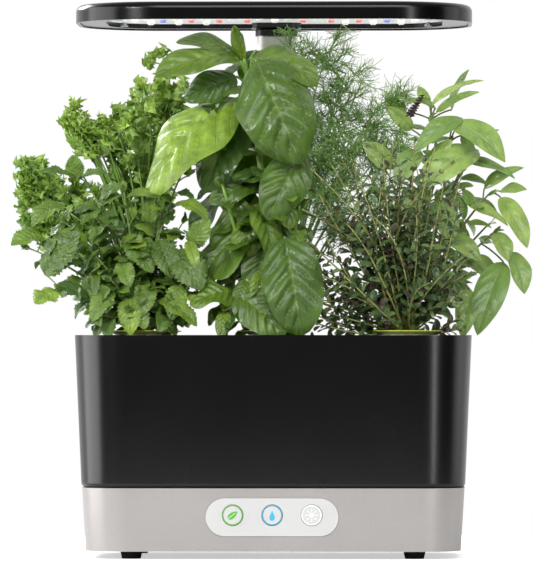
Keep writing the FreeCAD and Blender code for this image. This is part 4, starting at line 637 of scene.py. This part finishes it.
# the share of its height over the deck that a tall plant would keep when the mast is pushed right down; only
# the names are read, and these plants get meshes of their own
kept_height = {"basil": 0.68, "dill": 0.70, "lemon_basil": 0.8, "parsley": 0.77}


def grown(pieces, plant):
    """The pieces stand for the plant's solid and ride on the garden; a tall plant gets a mesh of its own."""
    for piece in pieces:
        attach(piece, "garden")
        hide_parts(plant + "_plant")
        if plant in kept_height:
            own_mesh(piece)


def rooted(x, y, heads, draw, loose, bow, keep):
    """Where the stems leave a pod, loose mm about its middle, and the points they bend towards.

    A bending point keeps these shares of its foot and takes the rest from its head, give or take bow.
    """
    keep = np.array(keep)
    foot = np.array([x, y, deck_level]) + draw.normal(0, loose, heads.shape) * [1, 1, 0]
    return foot, foot * keep + heads * (1 - keep) + draw.normal(0, bow, heads.shape)


def curve(start, bend, end, places):
    """The points start (1 - s)^2 + 2 bend s (1 - s) + end s^2, for each s in places or for that many."""
    s = (places if np.ndim(places) else np.linspace(0, 1, places))[None, :, None]
    return start[:, None] * (1 - s) ** 2 + bend[:, None] * 2 * s * (1 - s) + end[:, None] * s ** 2


def sprigs(start, bend, end, pairs, first, reach, slim, draw, tilt=0.45, droop=0.0):
    """Stems with opposite pairs of leaves, each pair a quarter turn on from the last.

    Leaves stand square to the stem, raised towards its tip by tilt; they are largest a third of
    the way up and end in a small upright pair. Returns the stems' points, and each leaf's base,
    tip, face and width.
    """
    count = len(start)
    stems = curve(start, bend, end, 14)
    at = np.linspace(first, 0.97, pairs)
    s = at[None, :, None]
    joint = curve(start, bend, end, at)
    run = unit(2 * (1 - s) * (bend - start)[:, None] + 2 * s * (end - bend)[:, None])
    side, rise = across(run, run[..., 2:])
    angle = (draw.uniform(0, np.pi, (count, 1)) + np.arange(pairs) * np.pi / 2
             + draw.normal(0, 0.25, (count, pairs)))[..., None]
    share = (1 - 0.62 * np.abs((at - first) / (0.97 - first) - 0.35) ** 1.2)[None, :, None]
    share = share * np.where(at > 0.93, 0.6, 1.0)[None, :, None]
    bases, tips, faces, widths = [], [], [], []
    for turn in (0, np.pi):
        out = side * np.cos(angle + turn) + rise * np.sin(angle + turn)
        lean = tilt + draw.normal(0, 0.15, (count, pairs, 1)) + 0.9 * (at > 0.93)[None, :, None]
        way = unit(out * np.cos(lean) + run * np.sin(lean) + np.array([0, 0, -1.0]) * droop)
        far = reach * share * draw.uniform(0.75, 1.2, (count, pairs, 1))
        bases.append(joint + out * 0.5 + way * far * 0.08)
        tips.append(joint + way * far * 1.08)
        outward = np.where(way[..., 1:2] < 0.35, -0.8, 0.6) * np.array([0, 1.0, 0])
        faces.append(run * np.cos(lean) - out * np.sin(lean) + outward + np.array([0, 0, 0.3]))
        widths.append((far * slim)[..., 0] * draw.uniform(0.85, 1.15, (count, pairs)))
    flat = [np.array(parts).reshape(-1, 3) for parts in (bases, tips, faces)]
    return stems, *flat, np.ravel(widths)


def stalks_to(base, stems, drop):
    """Leaf stalks, each from the stem point nearest to a place below the leaf, bent up into its base."""
    points = stems.reshape(-1, 3)
    want = base - np.array([0, 0, drop])
    near = points[np.linalg.norm(points[None] - want[:, None], axis=2).argmin(1)]
    bend = (near + base) / 2 + np.array([0, 0, 2.0])
    return curve(near, bend, base, 7)


def bush(large, name, plant, green, stalk, table, broad, shoots, ages, small, stem, link, seeds):
    """Large leaves where the table has them, small ones in pairs along the shoots, stems and leaf stalks.

    large names the first of these pieces. stem holds the stems' radius at foot and tip and their
    number of sides; link how far below a large leaf its stalk leaves the stem, its radius and sides.
    """
    slot = "leaf_" + plant
    stems, base, tip, face, width = shoots
    drop, radius, sides = link
    links = stalks_to(table[:, 0:3], stems, drop)
    broad = {**broad, "lift": table[:, 10], "fold": table[:, 11]}
    return [leaf_piece(large, green, table[:, 0:3], table[:, 3:6], table[:, 7:10], table[:, 6],
                       table[:, 12], broad, seeds[0]),
            leaf_piece(name + "_small_leaves", green, base, tip, face, width, ages, small, seeds[1]),
            tube_piece(name + "_stems", slot, stalk, stems, *stem),
            tube_piece(name + "_leaf_stalks", slot, stalk, links, radius, radius, sides)]


basil_green = leaf_skin("waxy_basil_leaf", "a0c238 335c16 1a370c a9c46c 7c9b4a b9e03c", 0.30, 6,
                        0.26, 0.6, 0.55)
basil_stalk = stalk_skin("square_basil_stem", "93b552", "5f8a32")
# base x y z, tip x y z, width, face x y z, lift, fold, age: each large leaf where it grows
BASIL = np.array([
    (-20, -38, 334, -26, -44, 357, 10, -0.4, -0.9, 0.2, 0.08, 0.5, 0.9),
    (-22, -36, 336, -65, -50, 345, 20, 0.0, -0.6, 0.8, 0.12, 0.25, 0.5),
    (-22, -44, 333, -78, -66, 321, 28, -0.1, -0.7, 0.8, 0.14, 0.3, 0.6),
    (-25, -34, 323, -60, -42, 307, 23, -0.1, -0.9, 0.1, 0.1, 0.2, 0.1),
    (-14, -42, 335, 30, -52, 316, 27, 0.2, -0.7, 0.7, 0.16, 0.2, 0.6),
    (-11, -50, 333, 19, -66, 263, 54, -0.1, -0.9, 0.3, 0.2, 0.12, 0.2),
    (-25, -30, 309, -85, -50, 241, 50, -0.3, -0.8, 0.6, 0.14, 0.15, 1.0),
    (-23, -24, 299, -46, -40, 245, 35, -0.1, -0.9, 0.2, 0.1, 0.2, 0.1),
    (19, -46, 271, -3, -60, 226, 33, 0.1, -0.9, 0.4, 0.12, 0.2, 0.2),
    (-8, -30, 253, -42, -44, 237, 21, 0.0, -0.8, 0.5, 0.12, 0.2, 0.2),
    (-24, -40, 243, -36, -62, 186, 31, -0.3, -0.9, 0.3, -0.14, 0.35, 0.3),
    (-12, -44, 236, 0, -56, 198, 23, 0.5, -0.8, 0.2, 0.16, 0.3, 0.4),
    (8, -58, 214, 19, -68, 148, 42, 0.1, -1.0, 0.2, 0.14, 0.12, 0.15),
    (-24, -58, 177, 8, -69, 148, 30, -0.2, -0.8, 0.6, 0.14, 0.2, 0.3),
    (-26, -56, 178, -55, -66, 169, 26, -0.1, -0.7, 0.7, 0.14, 0.25, 0.4),
    (-31, -58, 167, -34, -68, 147, 11, -0.2, -0.9, 0.3, 0.1, 0.3, 0.7),
    (-27, -54, 178, -32, -64, 165, 11, -0.3, -0.8, 0.5, 0.1, 0.3, 0.6),
    (-18, -54, 186, -23, -62, 170, 12, -0.1, -0.9, 0.4, 0.12, 0.3, 0.5),
    (-7, -52, 191, -10, -62, 170, 15, 0.1, -0.9, 0.4, 0.14, 0.3, 0.9),
    (-8, -34, 231, 18, -44, 217, 15, 0.0, -0.9, 0.3, 0.1, 0.2, 0.1),
    (-18, -16, 274, -31, -26, 231, 31, 0.1, -0.9, 0.2, 0.1, 0.2, 0.1),
    (-8, -20, 223, -19, -32, 180, 30, -0.1, -0.9, 0.2, 0.1, 0.2, 0.1),
    (-10, -34, 238, -20, -46, 196, 24, -0.2, -0.9, 0.3, 0.14, 0.25, 0.5),
    (-4, -40, 214, -12, -54, 172, 25, -0.1, -0.9, 0.3, 0.12, 0.25, 0.3),
    (-30, -34, 216, -46, -48, 186, 20, -0.2, -0.9, 0.3, 0.12, 0.25, 0.2),
    (4, -40, 256, 12, -54, 220, 26, 0.2, -0.9, 0.3, 0.14, 0.25, 0.4),
    (-30, -36, 200, -52, -50, 180, 18, -0.3, -0.8, 0.4, 0.12, 0.25, 0.3),
    (0, -44, 196, 22, -56, 172, 20, 0.3, -0.8, 0.4, 0.12, 0.25, 0.3),
    (-16, -14, 315, -8, -20, 274, 32, 0.2, -0.9, 0.3, 0.1, 0.2, 0.1),
    (-4, -8, 335, 17, 0, 300, 34, 0.3, -0.4, 0.8, 0.12, 0.2, 0.3),
    (-23, -12, 332, -53, 2, 300, 31, -0.3, -0.4, 0.8, 0.12, 0.2, 0.2),
    (-17, -4, 295, 14, 6, 248, 31, 0.4, -0.6, 0.6, 0.12, 0.2, 0.1),
    (-23, -6, 254, -58, 4, 214, 30, -0.4, -0.6, 0.6, 0.12, 0.2, 0.1),
    (-12, -20, 341, -9, 22, 309, 32, 0.1, 0.5, 0.8, 0.14, 0.2, 0.4),
    (-16, 0, 302, -5, 24, 248, 34, 0.1, 0.8, 0.5, 0.14, 0.2, 0.2),
    (-18, 0, 248, -27, 22, 194, 30, -0.1, 0.8, 0.4, 0.14, 0.2, 0.1),
])
broad = dict(rows=34, columns=17, rise=0.50, fall=0.60, cup=-0.36, wave=0.24, waves=1.3, quilt=0.17,
             veins=6, bite=0.0, twist=0.3)
small = dict(rows=14, columns=9, rise=0.5, fall=0.62, lift=0.14, fold=0.25, cup=-0.15, wave=0.16,
             waves=1.8, quilt=0.25, veins=5, bite=0.0, twist=0.4)
draw = np.random.default_rng(21)
heads = np.array([(-22, -38, 348), (-18, -30, 330), (-40, -40, 300), (10, -44, 322), (-34, -46, 250),
                  (18, -50, 236), (-6, -58, 176), (-42, -48, 182), (4, -20, 300)], float)
foot, bends = rooted(0.0, -pod_row, heads, draw, 1.5, 5, (0.5, 0.5, 0.5))
shoots = sprigs(foot, bends + [0, 4, 0], heads, 6, 0.25, 26.0, 0.62, draw, tilt=0.35, droop=0.35)
ages = draw.uniform(0.0, 0.6, len(shoots[1]))
basil = bush("basil_broad_leaves", "basil", "basil", basil_green, basil_stalk, BASIL, broad, shoots, ages,
             small, (2.2, 0.9, 8), (9.0, 0.9, 6), (11, 12))
grown(basil, "basil")


# Mint: toothed, puckered leaves on thin stems, rooted in the front left sponge. It leans out over
# the front left corner of the bowl.
mint_green = leaf_skin("downy_mint_leaf", "a4c440 426c20 213f15 a3c47c 86a764 b2da40", 0.38, 7,
                       0.34, 0.7, 0.35)
mint_stalk = stalk_skin("square_mint_stem", "7f9c50", "55663a")
# base x y z, tip x y z, width, face x y z, lift, fold, age
MINT = np.array([
    (-153, -46, 214, -175, -54, 209, 18, -0.2, -0.6, 0.8, 0.1, 0.45, 0.5),
    (-153, -52, 190, -129, -60, 218, 23, -0.3, -0.8, 0.4, 0.06, 0.25, 0.5),
    (-141, -44, 236, -161, -54, 222, 16, -0.3, -0.7, 0.6, 0.18, 0.3, 0.9),
    (-132, -44, 254, -134, -48, 270, 13, 0.0, -0.9, 0.1, 0.04, 0.2, 0.5),
    (-132, -46, 254, -157, -54, 258, 12, -0.2, -0.4, 0.9, 0.1, 0.4, 0.5),
    (-129, -46, 254, -111, -52, 257, 12, 0.2, -0.4, 0.9, 0.1, 0.4, 0.5),
    (-116, -40, 241, -101, -48, 249, 12, 0.0, -0.7, 0.7, 0.1, 0.3, 0.3),
    (-115, -40, 232, -105, -50, 220, 13, 0.2, -0.8, 0.5, 0.1, 0.3, 0.3),
    (-113, -42, 221, -121, -50, 210, 12, -0.2, -0.8, 0.5, 0.1, 0.3, 0.3),
    (-116, -38, 237, -128, -46, 224, 15, -0.3, -0.8, 0.5, 0.12, 0.3, 0.3),
    (-97, -46, 213, -80, -58, 191, 19, 0.1, -0.8, 0.5, 0.12, 0.25, 0.3),
    (-88, -44, 214, -79, -50, 199, 12, 0.2, -0.8, 0.5, 0.1, 0.3, 0.4),
    (-76, -48, 213, -67, -60, 187, 19, 0.1, -0.9, 0.4, 0.1, 0.25, 0.4),
    (-66, -50, 205, -47, -62, 179, 24, 0.1, -0.8, 0.5, 0.12, 0.2, 0.5),
    (-54, -48, 209, -42, -56, 227, 16, 0.1, -0.8, 0.4, 0.1, 0.3, 0.5),
    (-57, -50, 212, -50, -60, 193, 9, 0.1, -0.9, 0.4, 0.12, 0.3, 1.0),
    (-68, -46, 237, -98, -56, 241, 15, -0.1, -0.5, 0.8, 0.18, 0.35, 0.8),
    (-66, -46, 237, -43, -56, 226, 13, 0.1, -0.5, 0.8, 0.18, 0.35, 0.8),
    (-93, -48, 228, -95, -50, 237, 5, 0.0, -0.9, 0.2, 0.05, 0.5, 0.9),
    (-143, -58, 179, -158, -70, 170, 20, -0.2, -0.5, 0.8, 0.1, 0.15, 0.9),
    (-145, -54, 183, -123, -64, 173, 15, 0.1, -0.6, 0.8, 0.1, 0.3, 0.1),
    (-96, -58, 174, -94, -69, 149, 16, 0.0, -0.8, 0.6, 0.12, 0.25, 1.0),
    (-101, -54, 198, -95, -64, 181, 13, 0.0, -0.8, 0.5, 0.1, 0.3, 0.5),
    (-118, -50, 194, -120, -60, 171, 9, -0.2, -0.9, 0.3, 0.1, 0.3, 0.4),
    (-62, -56, 183, -67, -66, 159, 15, -0.1, -0.9, 0.4, 0.08, 0.3, 0.5),
    (-82, -56, 183, -88, -66, 161, 16, -0.1, -0.8, 0.5, 0.12, 0.3, 0.4),
    (-46, -40, 260, -39, -46, 276, 9, 0.3, -0.8, 0.3, 0.08, 0.4, 0.8),
    (-56, -40, 256, -62, -44, 273, 8, -0.3, -0.8, 0.3, 0.08, 0.4, 0.8),
    (-124, -48, 209, -142, -58, 218, 15, -0.2, -0.7, 0.7, 0.12, 0.3, 0.5),
    (-107, -58, 179, -120, -69, 158, 15, -0.2, -0.8, 0.5, 0.14, 0.3, 0.6),
    (-82, -46, 225, -82, -50, 242, 11, 0.0, -0.9, 0.3, 0.06, 0.4, 0.6),
    (-75, -60, 173, -50, -69, 155, 16, 0.1, -0.7, 0.7, 0.14, 0.3, 0.6),
])
toothed = dict(rows=25, columns=11, rise=0.55, fall=0.75, cup=-0.16, wave=0.16, waves=2.2, quilt=0.26,
               veins=7, bite=0.18, twist=0.3)
small = dict(rows=15, columns=7, rise=0.55, fall=0.75, lift=0.14, fold=0.35, cup=-0.12, wave=0.18,
             waves=1.8, quilt=0.26, veins=6, bite=0.2, twist=0.5)
draw = np.random.default_rng(32)
heads = np.array([(-165, -50, 208), (-142, -52, 216), (-131, -44, 262), (-112, -40, 236), (-100, -46, 247),
                  (-88, -44, 210), (-72, -42, 238), (-54, -42, 270), (-46, -48, 214), (-55, -58, 184),
                  (-82, -60, 180), (-108, -60, 186), (-142, -60, 180), (-122, -50, 206), (-95, -66, 168),
                  (-64, -66, 168), (-150, -42, 232), (-60, -40, 226), (-92, -36, 225), (-120, -64, 165),
                  (-76, -30, 200), (-128, -34, 196), (-104, -44, 206), (-84, -40, 192), (-70, -34, 216),
                  (-116, -30, 222), (-134, -30, 218), (-56, -36, 204), (-96, -26, 232),
                  (-110, -50, 172)], float)
foot, bends = rooted(-pod_column, -pod_row, heads, draw, 1.6, 5, (0.6, 0.6, 0.35))
shoots = sprigs(foot, bends, heads, 6, 0.30, 19.0, 0.62, draw, tilt=0.35, droop=0.2)
ages = draw.uniform(0.0, 0.8, len(shoots[1]))
mint = bush("mint_broad_leaves", "mint", "mint", mint_green, mint_stalk, MINT, toothed, shoots, ages,
            small, (1.3, 0.5, 6), (5.0, 0.5, 5), (31, 33))
grown(mint, "mint")


# Pointed-leaf basil: long pale leaves with a smooth edge on dark wiry stems, with one flower head.
# It is rooted in the back right sponge and spreads wide over that corner.
pointed_green = leaf_skin("smooth_pointed_basil_leaf", "c6da78 86ab52 52793a d3e4ae b8d096 d4ec78",
                          0.34, 5, 0.32, 0.4, 0.5)
wiry_stalk = stalk_skin("wiry_basil_stem", "7d8a4c", "4b4a34")
# base x y z, tip x y z, width, face x y z, lift, fold, age
LEMON = np.array([
    (106, 20, 305, 142, 10, 322, 11, 0.0, -0.6, 0.8, 0.1, 0.45, 0.9),
    (109, 18, 300, 139, 4, 314, 11, 0.1, -0.7, 0.7, 0.08, 0.4, 0.5),
    (109, 22, 304, 85, 16, 308, 11, -0.1, -0.6, 0.8, 0.1, 0.4, 0.7),
    (105, 24, 306, 97, 30, 319, 8, -0.3, -0.8, 0.4, 0.06, 0.5, 0.8),
    (93, 20, 289, 75, 12, 305, 11, -0.3, -0.8, 0.4, 0.08, 0.4, 0.6),
    (89, 24, 301, 74, 30, 311, 9, -0.2, -0.7, 0.6, 0.08, 0.4, 0.5),
    (127, 18, 297, 94, 2, 272, 16, -0.2, -0.8, 0.5, 0.14, 0.3, 0.4),
    (121, 16, 293, 156, -2, 266, 23, 0.2, -0.8, 0.6, 0.16, 0.2, 0.3),
    (127, 20, 285, 135, 12, 266, 9, 0.3, -0.8, 0.3, 0.06, 0.4, 0.3),
    (125, 20, 267, 163, 8, 255, 13, 0.1, -0.5, 0.8, 0.12, 0.3, 0.1),
    (138, 14, 275, 97, -4, 247, 27, -0.2, -0.8, 0.6, 0.14, 0.2, 0.6),
    (142, 22, 249, 169, 14, 263, 12, 0.2, -0.7, 0.6, 0.1, 0.35, 0.7),
    (153, 20, 247, 171, 14, 248, 10, 0.3, -0.7, 0.6, 0.1, 0.35, 0.6),
    (135, 20, 237, 127, 16, 249, 8, -0.2, -0.8, 0.4, 0.06, 0.4, 0.1),
    (153, 18, 243, 171, 6, 208, 17, 0.3, -0.8, 0.3, 0.12, 0.25, 0.7),
    (132, 16, 237, 158, 4, 223, 10, 0.1, -0.7, 0.6, 0.12, 0.35, 0.7),
    (150, 14, 219, 158, 4, 199, 15, 0.2, -0.8, 0.4, 0.1, 0.3, 0.6),
    (161, 16, 206, 169, 6, 177, 16, 0.4, -0.8, 0.2, 0.1, 0.25, 0.6),
    (155, 12, 199, 137, -6, 149, 23, -0.2, -0.9, 0.2, 0.1, 0.2, 0.1),
    (132, 6, 180, 127, -8, 147, 16, 0.0, -0.9, 0.2, 0.1, 0.25, 0.5),
    (105, 10, 248, 79, -6, 219, 21, -0.2, -0.8, 0.4, 0.12, 0.25, 0.5),
    (109, 12, 241, 120, 0, 210, 19, 0.2, -0.8, 0.4, 0.12, 0.25, 0.4),
    (79, 14, 263, 59, 8, 280, 15, -0.2, -0.8, 0.5, 0.1, 0.3, 0.6),
    (106, 14, 264, 120, 8, 282, 13, 0.2, -0.8, 0.5, 0.1, 0.3, 0.5),
    (98, 14, 275, 82, 0, 250, 17, -0.2, -0.8, 0.4, 0.12, 0.25, 0.4),
    (112, 10, 217, 140, -2, 199, 17, 0.1, -0.7, 0.7, 0.12, 0.3, 0.5),
    (109, 12, 207, 91, 0, 178, 17, -0.2, -0.8, 0.4, 0.12, 0.3, 0.3),
    (125, 34, 262, 153, 52, 290, 17, 0.3, 0.3, 0.8, 0.12, 0.3, 0.4),
    (112, 36, 283, 84, 56, 290, 16, -0.3, 0.3, 0.8, 0.12, 0.3, 0.4),
    (120, 34, 242, 153, 58, 228, 19, 0.3, 0.4, 0.8, 0.12, 0.3, 0.3),
    (112, 34, 228, 87, 56, 208, 19, -0.3, 0.5, 0.7, 0.12, 0.3, 0.3),
    (123, 34, 207, 150, 54, 180, 17, 0.3, 0.6, 0.6, 0.12, 0.3, 0.3),
    (120, 30, 303, 132, 38, 331, 9, 0.2, 0.3, 0.8, 0.08, 0.4, 0.7),
])
spear = dict(rows=26, columns=11, rise=0.62, fall=0.85, cup=-0.16, wave=0.12, waves=1.4, quilt=0.12,
             veins=5, bite=0.0, twist=0.3)
small = dict(rows=13, columns=7, rise=0.6, fall=0.85, lift=0.12, fold=0.35, cup=-0.1, wave=0.08,
             waves=1.5, quilt=0.08, veins=5, bite=0.0, twist=0.5)
draw = np.random.default_rng(42)
heads = np.array([(106, 22, 296), (118, 18, 280), (128, 20, 262), (146, 18, 246), (150, 14, 220),
                  (128, 6, 190), (112, 8, 214), (96, 20, 268), (138, 44, 284), (120, 52, 262),
                  (146, 52, 226), (108, 56, 226), (132, 50, 190)], float)
foot, bends = rooted(pod_column, pod_row, heads, draw, 1.6, 5, (0.6, 0.6, 0.35))
shoots = sprigs(foot, bends, heads, 6, 0.35, 22.0, 0.45, draw, tilt=0.45, droop=0.2)
ages = draw.uniform(0.0, 0.8, len(shoots[1]))
pointed = bush("pointed_basil_leaves", "pointed_basil", "lemon_basil", pointed_green, wiry_stalk, LEMON,
               spear, shoots, ages, small, (1.4, 0.6, 6), (5.0, 0.6, 5), (41, 43))
# the flower head: whorls of purple brown husks, six to a ring, that shrink towards the top
husk_skin = leaf_skin("dry_purple_husk", "7a5a68 5a4050 3a2834 8a7078 8a7480 9a7060", 0.6, 3, 0.1, 0.3, 0.1)
husk = dict(rows=6, columns=5, rise=0.5, fall=0.6, lift=0.2, fold=0.6, cup=0.3, wave=0.1, waves=1.0,
            quilt=0.0, veins=3, bite=0.0, twist=0.4)
turn = np.arange(54) * 1.05
ring = np.arange(54) // 6
core = np.array([91.0, 17.0, 296.0]) + ring[:, None] * np.array([1.1, 0.0, 1.9])
out = np.stack([np.cos(turn), np.sin(turn), 0.5 + 0 * turn], 1)
husks = leaf_piece("pointed_basil_flower_head", husk_skin, core,
                   core + out * (4.2 - 0.3 * ring[:, None]), out * [-1, -1, 1.0] + [0, 0, 0.6],
                   3.2 - 0.2 * ring, draw.uniform(0, 1, 54), husk, 44)
grown([*pointed, husks], "lemon_basil")


# Curly parsley: long bare stalks that end in fans of frilled leaflets, rooted in the back left
# sponge.
parsley_green = leaf_skin("curled_parsley_leaf", "cde26a 94bb4c 567f34 bfdc84 a2c66c cdf05a", 0.36, 3,
                          0.2, 0.4, 0.4)
parsley_stalk = stalk_skin("ribbed_parsley_stalk", "86a94c", "5f8038")
draw = np.random.default_rng(51)
# each clump of fans: its middle, its spread and how many
clumps = [((-128, 28, 286), (8, 12, 8), 13), ((-100, 26, 290), (10, 12, 10), 13),
          ((-161, 24, 246), (8, 10, 8), 18), ((-142, 26, 222), (12, 12, 12), 20),
          ((-82, 30, 296), (7, 10, 14), 13), ((-96, 32, 258), (12, 12, 10), 10),
          ((-112, 36, 238), (18, 12, 14), 16), ((-110, 26, 178), (12, 8, 10), 5),
          ((-74, 28, 331), (2, 3, 2), 1)]
heads = np.concatenate([np.array(middle) + np.clip(draw.normal(0, 1, (number, 3)), -1.6, 1.6) * spread
                        for middle, spread, number in clumps])
heads[:, 0] = np.maximum(heads[:, 0], -165)
count = len(heads)
foot, bends = rooted(-pod_column, pod_row, heads, draw, 1.5, 4, (0.7, 0.7, 0.3))
stems = curve(foot, bends, heads, 12)
run = unit(heads - bends) + np.array([0, 0, 0.2])
run = unit(run + draw.normal(0, 0.25, run.shape))
side = unit(np.cross(run, np.array([0, 0, 1.0])) + draw.normal(0, 0.2, run.shape))
rise = np.cross(side, run)
rise = rise * np.where(rise[:, 2:] < 0, -1, 1)
# three clusters, ahead and to both sides, of four leaflets each
joint = np.stack([heads + run * 6, heads + side * 6 + run, heads - side * 6 + run], 1)
way = np.stack([run, side, -side], 1)
cross = np.cross(way, rise[:, None])
fan = np.radians([-66, -22, 22, 66])[None, None, :, None]
out = way[:, :, None] * np.cos(fan) + cross[:, :, None] * np.sin(fan)
out = unit(out + draw.normal(0, 0.22, (count, 3, 4, 3)))
base = np.broadcast_to(joint[:, :, None], out.shape).reshape(-1, 3)
out = out.reshape(-1, 3)
size = draw.uniform(6.5, 10.5, len(base))
face = np.repeat(rise, 12, 0) + draw.normal(0, 0.35, (len(base), 3)) + [0, -0.25, 0.2]
leaf_age = np.clip(np.repeat((heads[:, 2] - 200) / 130, 12) + draw.normal(0, 0.2, len(base)), 0, 1)
frilled = dict(rows=9, columns=5, rise=0.45, fall=0.35, lift=0.1, fold=0.3, cup=0.1, wave=0.55, waves=2.2,
               quilt=0.1, veins=3, bite=0.7, twist=0.9)
curls = leaf_piece("parsley_leaflets", parsley_green, base, base + out * size[:, None], face,
                   size * 0.95, leaf_age, frilled, 52)
stem_piece = tube_piece("parsley_stalks", "leaf_parsley", parsley_stalk, stems, 1.1, 0.55, 5)
fork, joint = np.repeat(heads, 3, 0), joint.reshape(-1, 3)
links = curve(fork, fork * 0.5 + joint * 0.5 + [0, 0, 0.5], joint, 4)
link_piece = tube_piece("parsley_fan_stalks", "leaf_parsley", parsley_stalk, links, 0.45, 0.45, 4)
grown([curls, stem_piece, link_piece], "parsley")


# Dill: slender green stems and fronds of thread leaves, finer than a millimetre, rooted behind the
# basil. The threads stop short of the lamp board.
dill_green = stalk_skin("thread_dill_leaf", "a8cc70", "5f9040", 0.35)
dill_row, thread_top = 12.4, 356
draw = np.random.default_rng(61)
tops = np.array([(20, 26, 330), (34, 20, 338), (48, 28, 328), (58, 22, 320), (70, 30, 306), (64, 16, 290),
                 (40, 34, 300), (72, 20, 272), (54, 34, 276), (28, 16, 296), (66, 34, 262), (12, 22, 344),
                 (44, 14, 250), (30, 18, 262), (58, 10, 240)], float)
foot, bends = rooted(0.0, dill_row, tops, draw, 1.2, 4, (0.55, 0.55, 0.35))
stems = curve(foot, bends, tops, 20)
heads = np.concatenate([stems[:, step] for step in (12, 14, 16, 18, 19)])
count = len(heads)
spread = unit(draw.normal(0, 1, (count, 3)) * [1, 0.7, 0.6] + unit(heads - np.array([10, 14, 200.0])) * 0.9)
far = draw.uniform(16, 30, (count, 1))
ends = heads + spread * far
ends[:, 2] = np.minimum(ends[:, 2], thread_top)
fronds = curve(heads, (heads + ends) / 2 + draw.normal(0, 4, heads.shape), ends, 9)
# fourteen side threads along each frond, each with six finer ones
place = np.repeat(fronds[:, 1:], 2, 1)[:, :14]
run = unit(ends - heads)[:, None]
out = unit(draw.normal(0, 1, place.shape) + run * 0.9)
long = 19 * (1 - 0.6 * np.linspace(0, 1, 14))[None, :, None] * draw.uniform(0.7, 1.2, (count, 14, 1))
tips = place + out * long
bow = draw.normal(0, 2.2, place.shape) + run * 2.5
first = curve(place.reshape(-1, 3), ((place + tips) / 2 + bow).reshape(-1, 3), tips.reshape(-1, 3), 5)
start = first[:, 1:4].repeat(2, 1).reshape(-1, 3)
way = unit(draw.normal(0, 1, start.shape) + np.repeat(unit(first[:, -1] - first[:, 0]), 6, 0) * 1.3)
stop = start + way * draw.uniform(6, 12, (len(start), 1))
stop[:, 2] = np.minimum(stop[:, 2], thread_top)
second = curve(start, (start + stop) / 2 + draw.normal(0, 1.6, start.shape), stop, 4)
threads = tube_piece("dill_side_threads", "leaf_dill", dill_green, first, 0.32, 0.24, 3)
fine = tube_piece("dill_fine_threads", "leaf_dill", dill_green, second, 0.25, 0.16, 3)
frond_piece = tube_piece("dill_fronds", "leaf_dill", dill_green, fronds, 0.55, 0.3, 4)
stem_piece = tube_piece("dill_stems", "leaf_dill", dill_green, stems, 1.1, 0.45, 5)
grown([threads, fine, frond_piece, stem_piece], "dill")


# Thyme: woody wire-thin stems with pairs of tiny dark leaves, some stained purple, rooted in the
# front right sponge, before the pointed basil.
thyme_green = leaf_skin("matt_thyme_leaf", "8fa862 4f6c40 2f4a2c 8aa870 809a74 93b04a", 0.38, 3,
                        0.2, 0.2, 0.4, purple=0.85)
thyme_stalk = stalk_skin("woody_thyme_stem", "a3a860", "67643a", 0.5)
draw = np.random.default_rng(71)
count = 96
heads = np.stack([draw.uniform(*reach, count) for reach in ((6, 134), (-70, -22), (170, 288))], 1)
heads[:, 2] -= np.abs(heads[:, 0] - 80) * 0.35
foot, bends = rooted(pod_column, -pod_row, heads, draw, 1.8, 13, (0.65, 0.65, 0.35))
stems, base, tip, face, width = sprigs(foot, bends, heads, 12, 0.22, 9.6, 0.5, draw, tilt=0.45)
speck = dict(rows=6, columns=5, rise=0.5, fall=0.6, lift=0.1, fold=0.3, cup=-0.2, wave=0.05, waves=1.0,
             quilt=0.0, veins=3, bite=0.0, twist=0.4)
specks = leaf_piece("thyme_leaves", thyme_green, base, tip, face, width,
                    draw.uniform(0.0, 1.0, len(base)), speck, 72)
stem_piece = tube_piece("thyme_stems", "leaf_thyme", thyme_stalk, stems, 0.8, 0.4, 5)
grown([specks, stem_piece], "thyme")
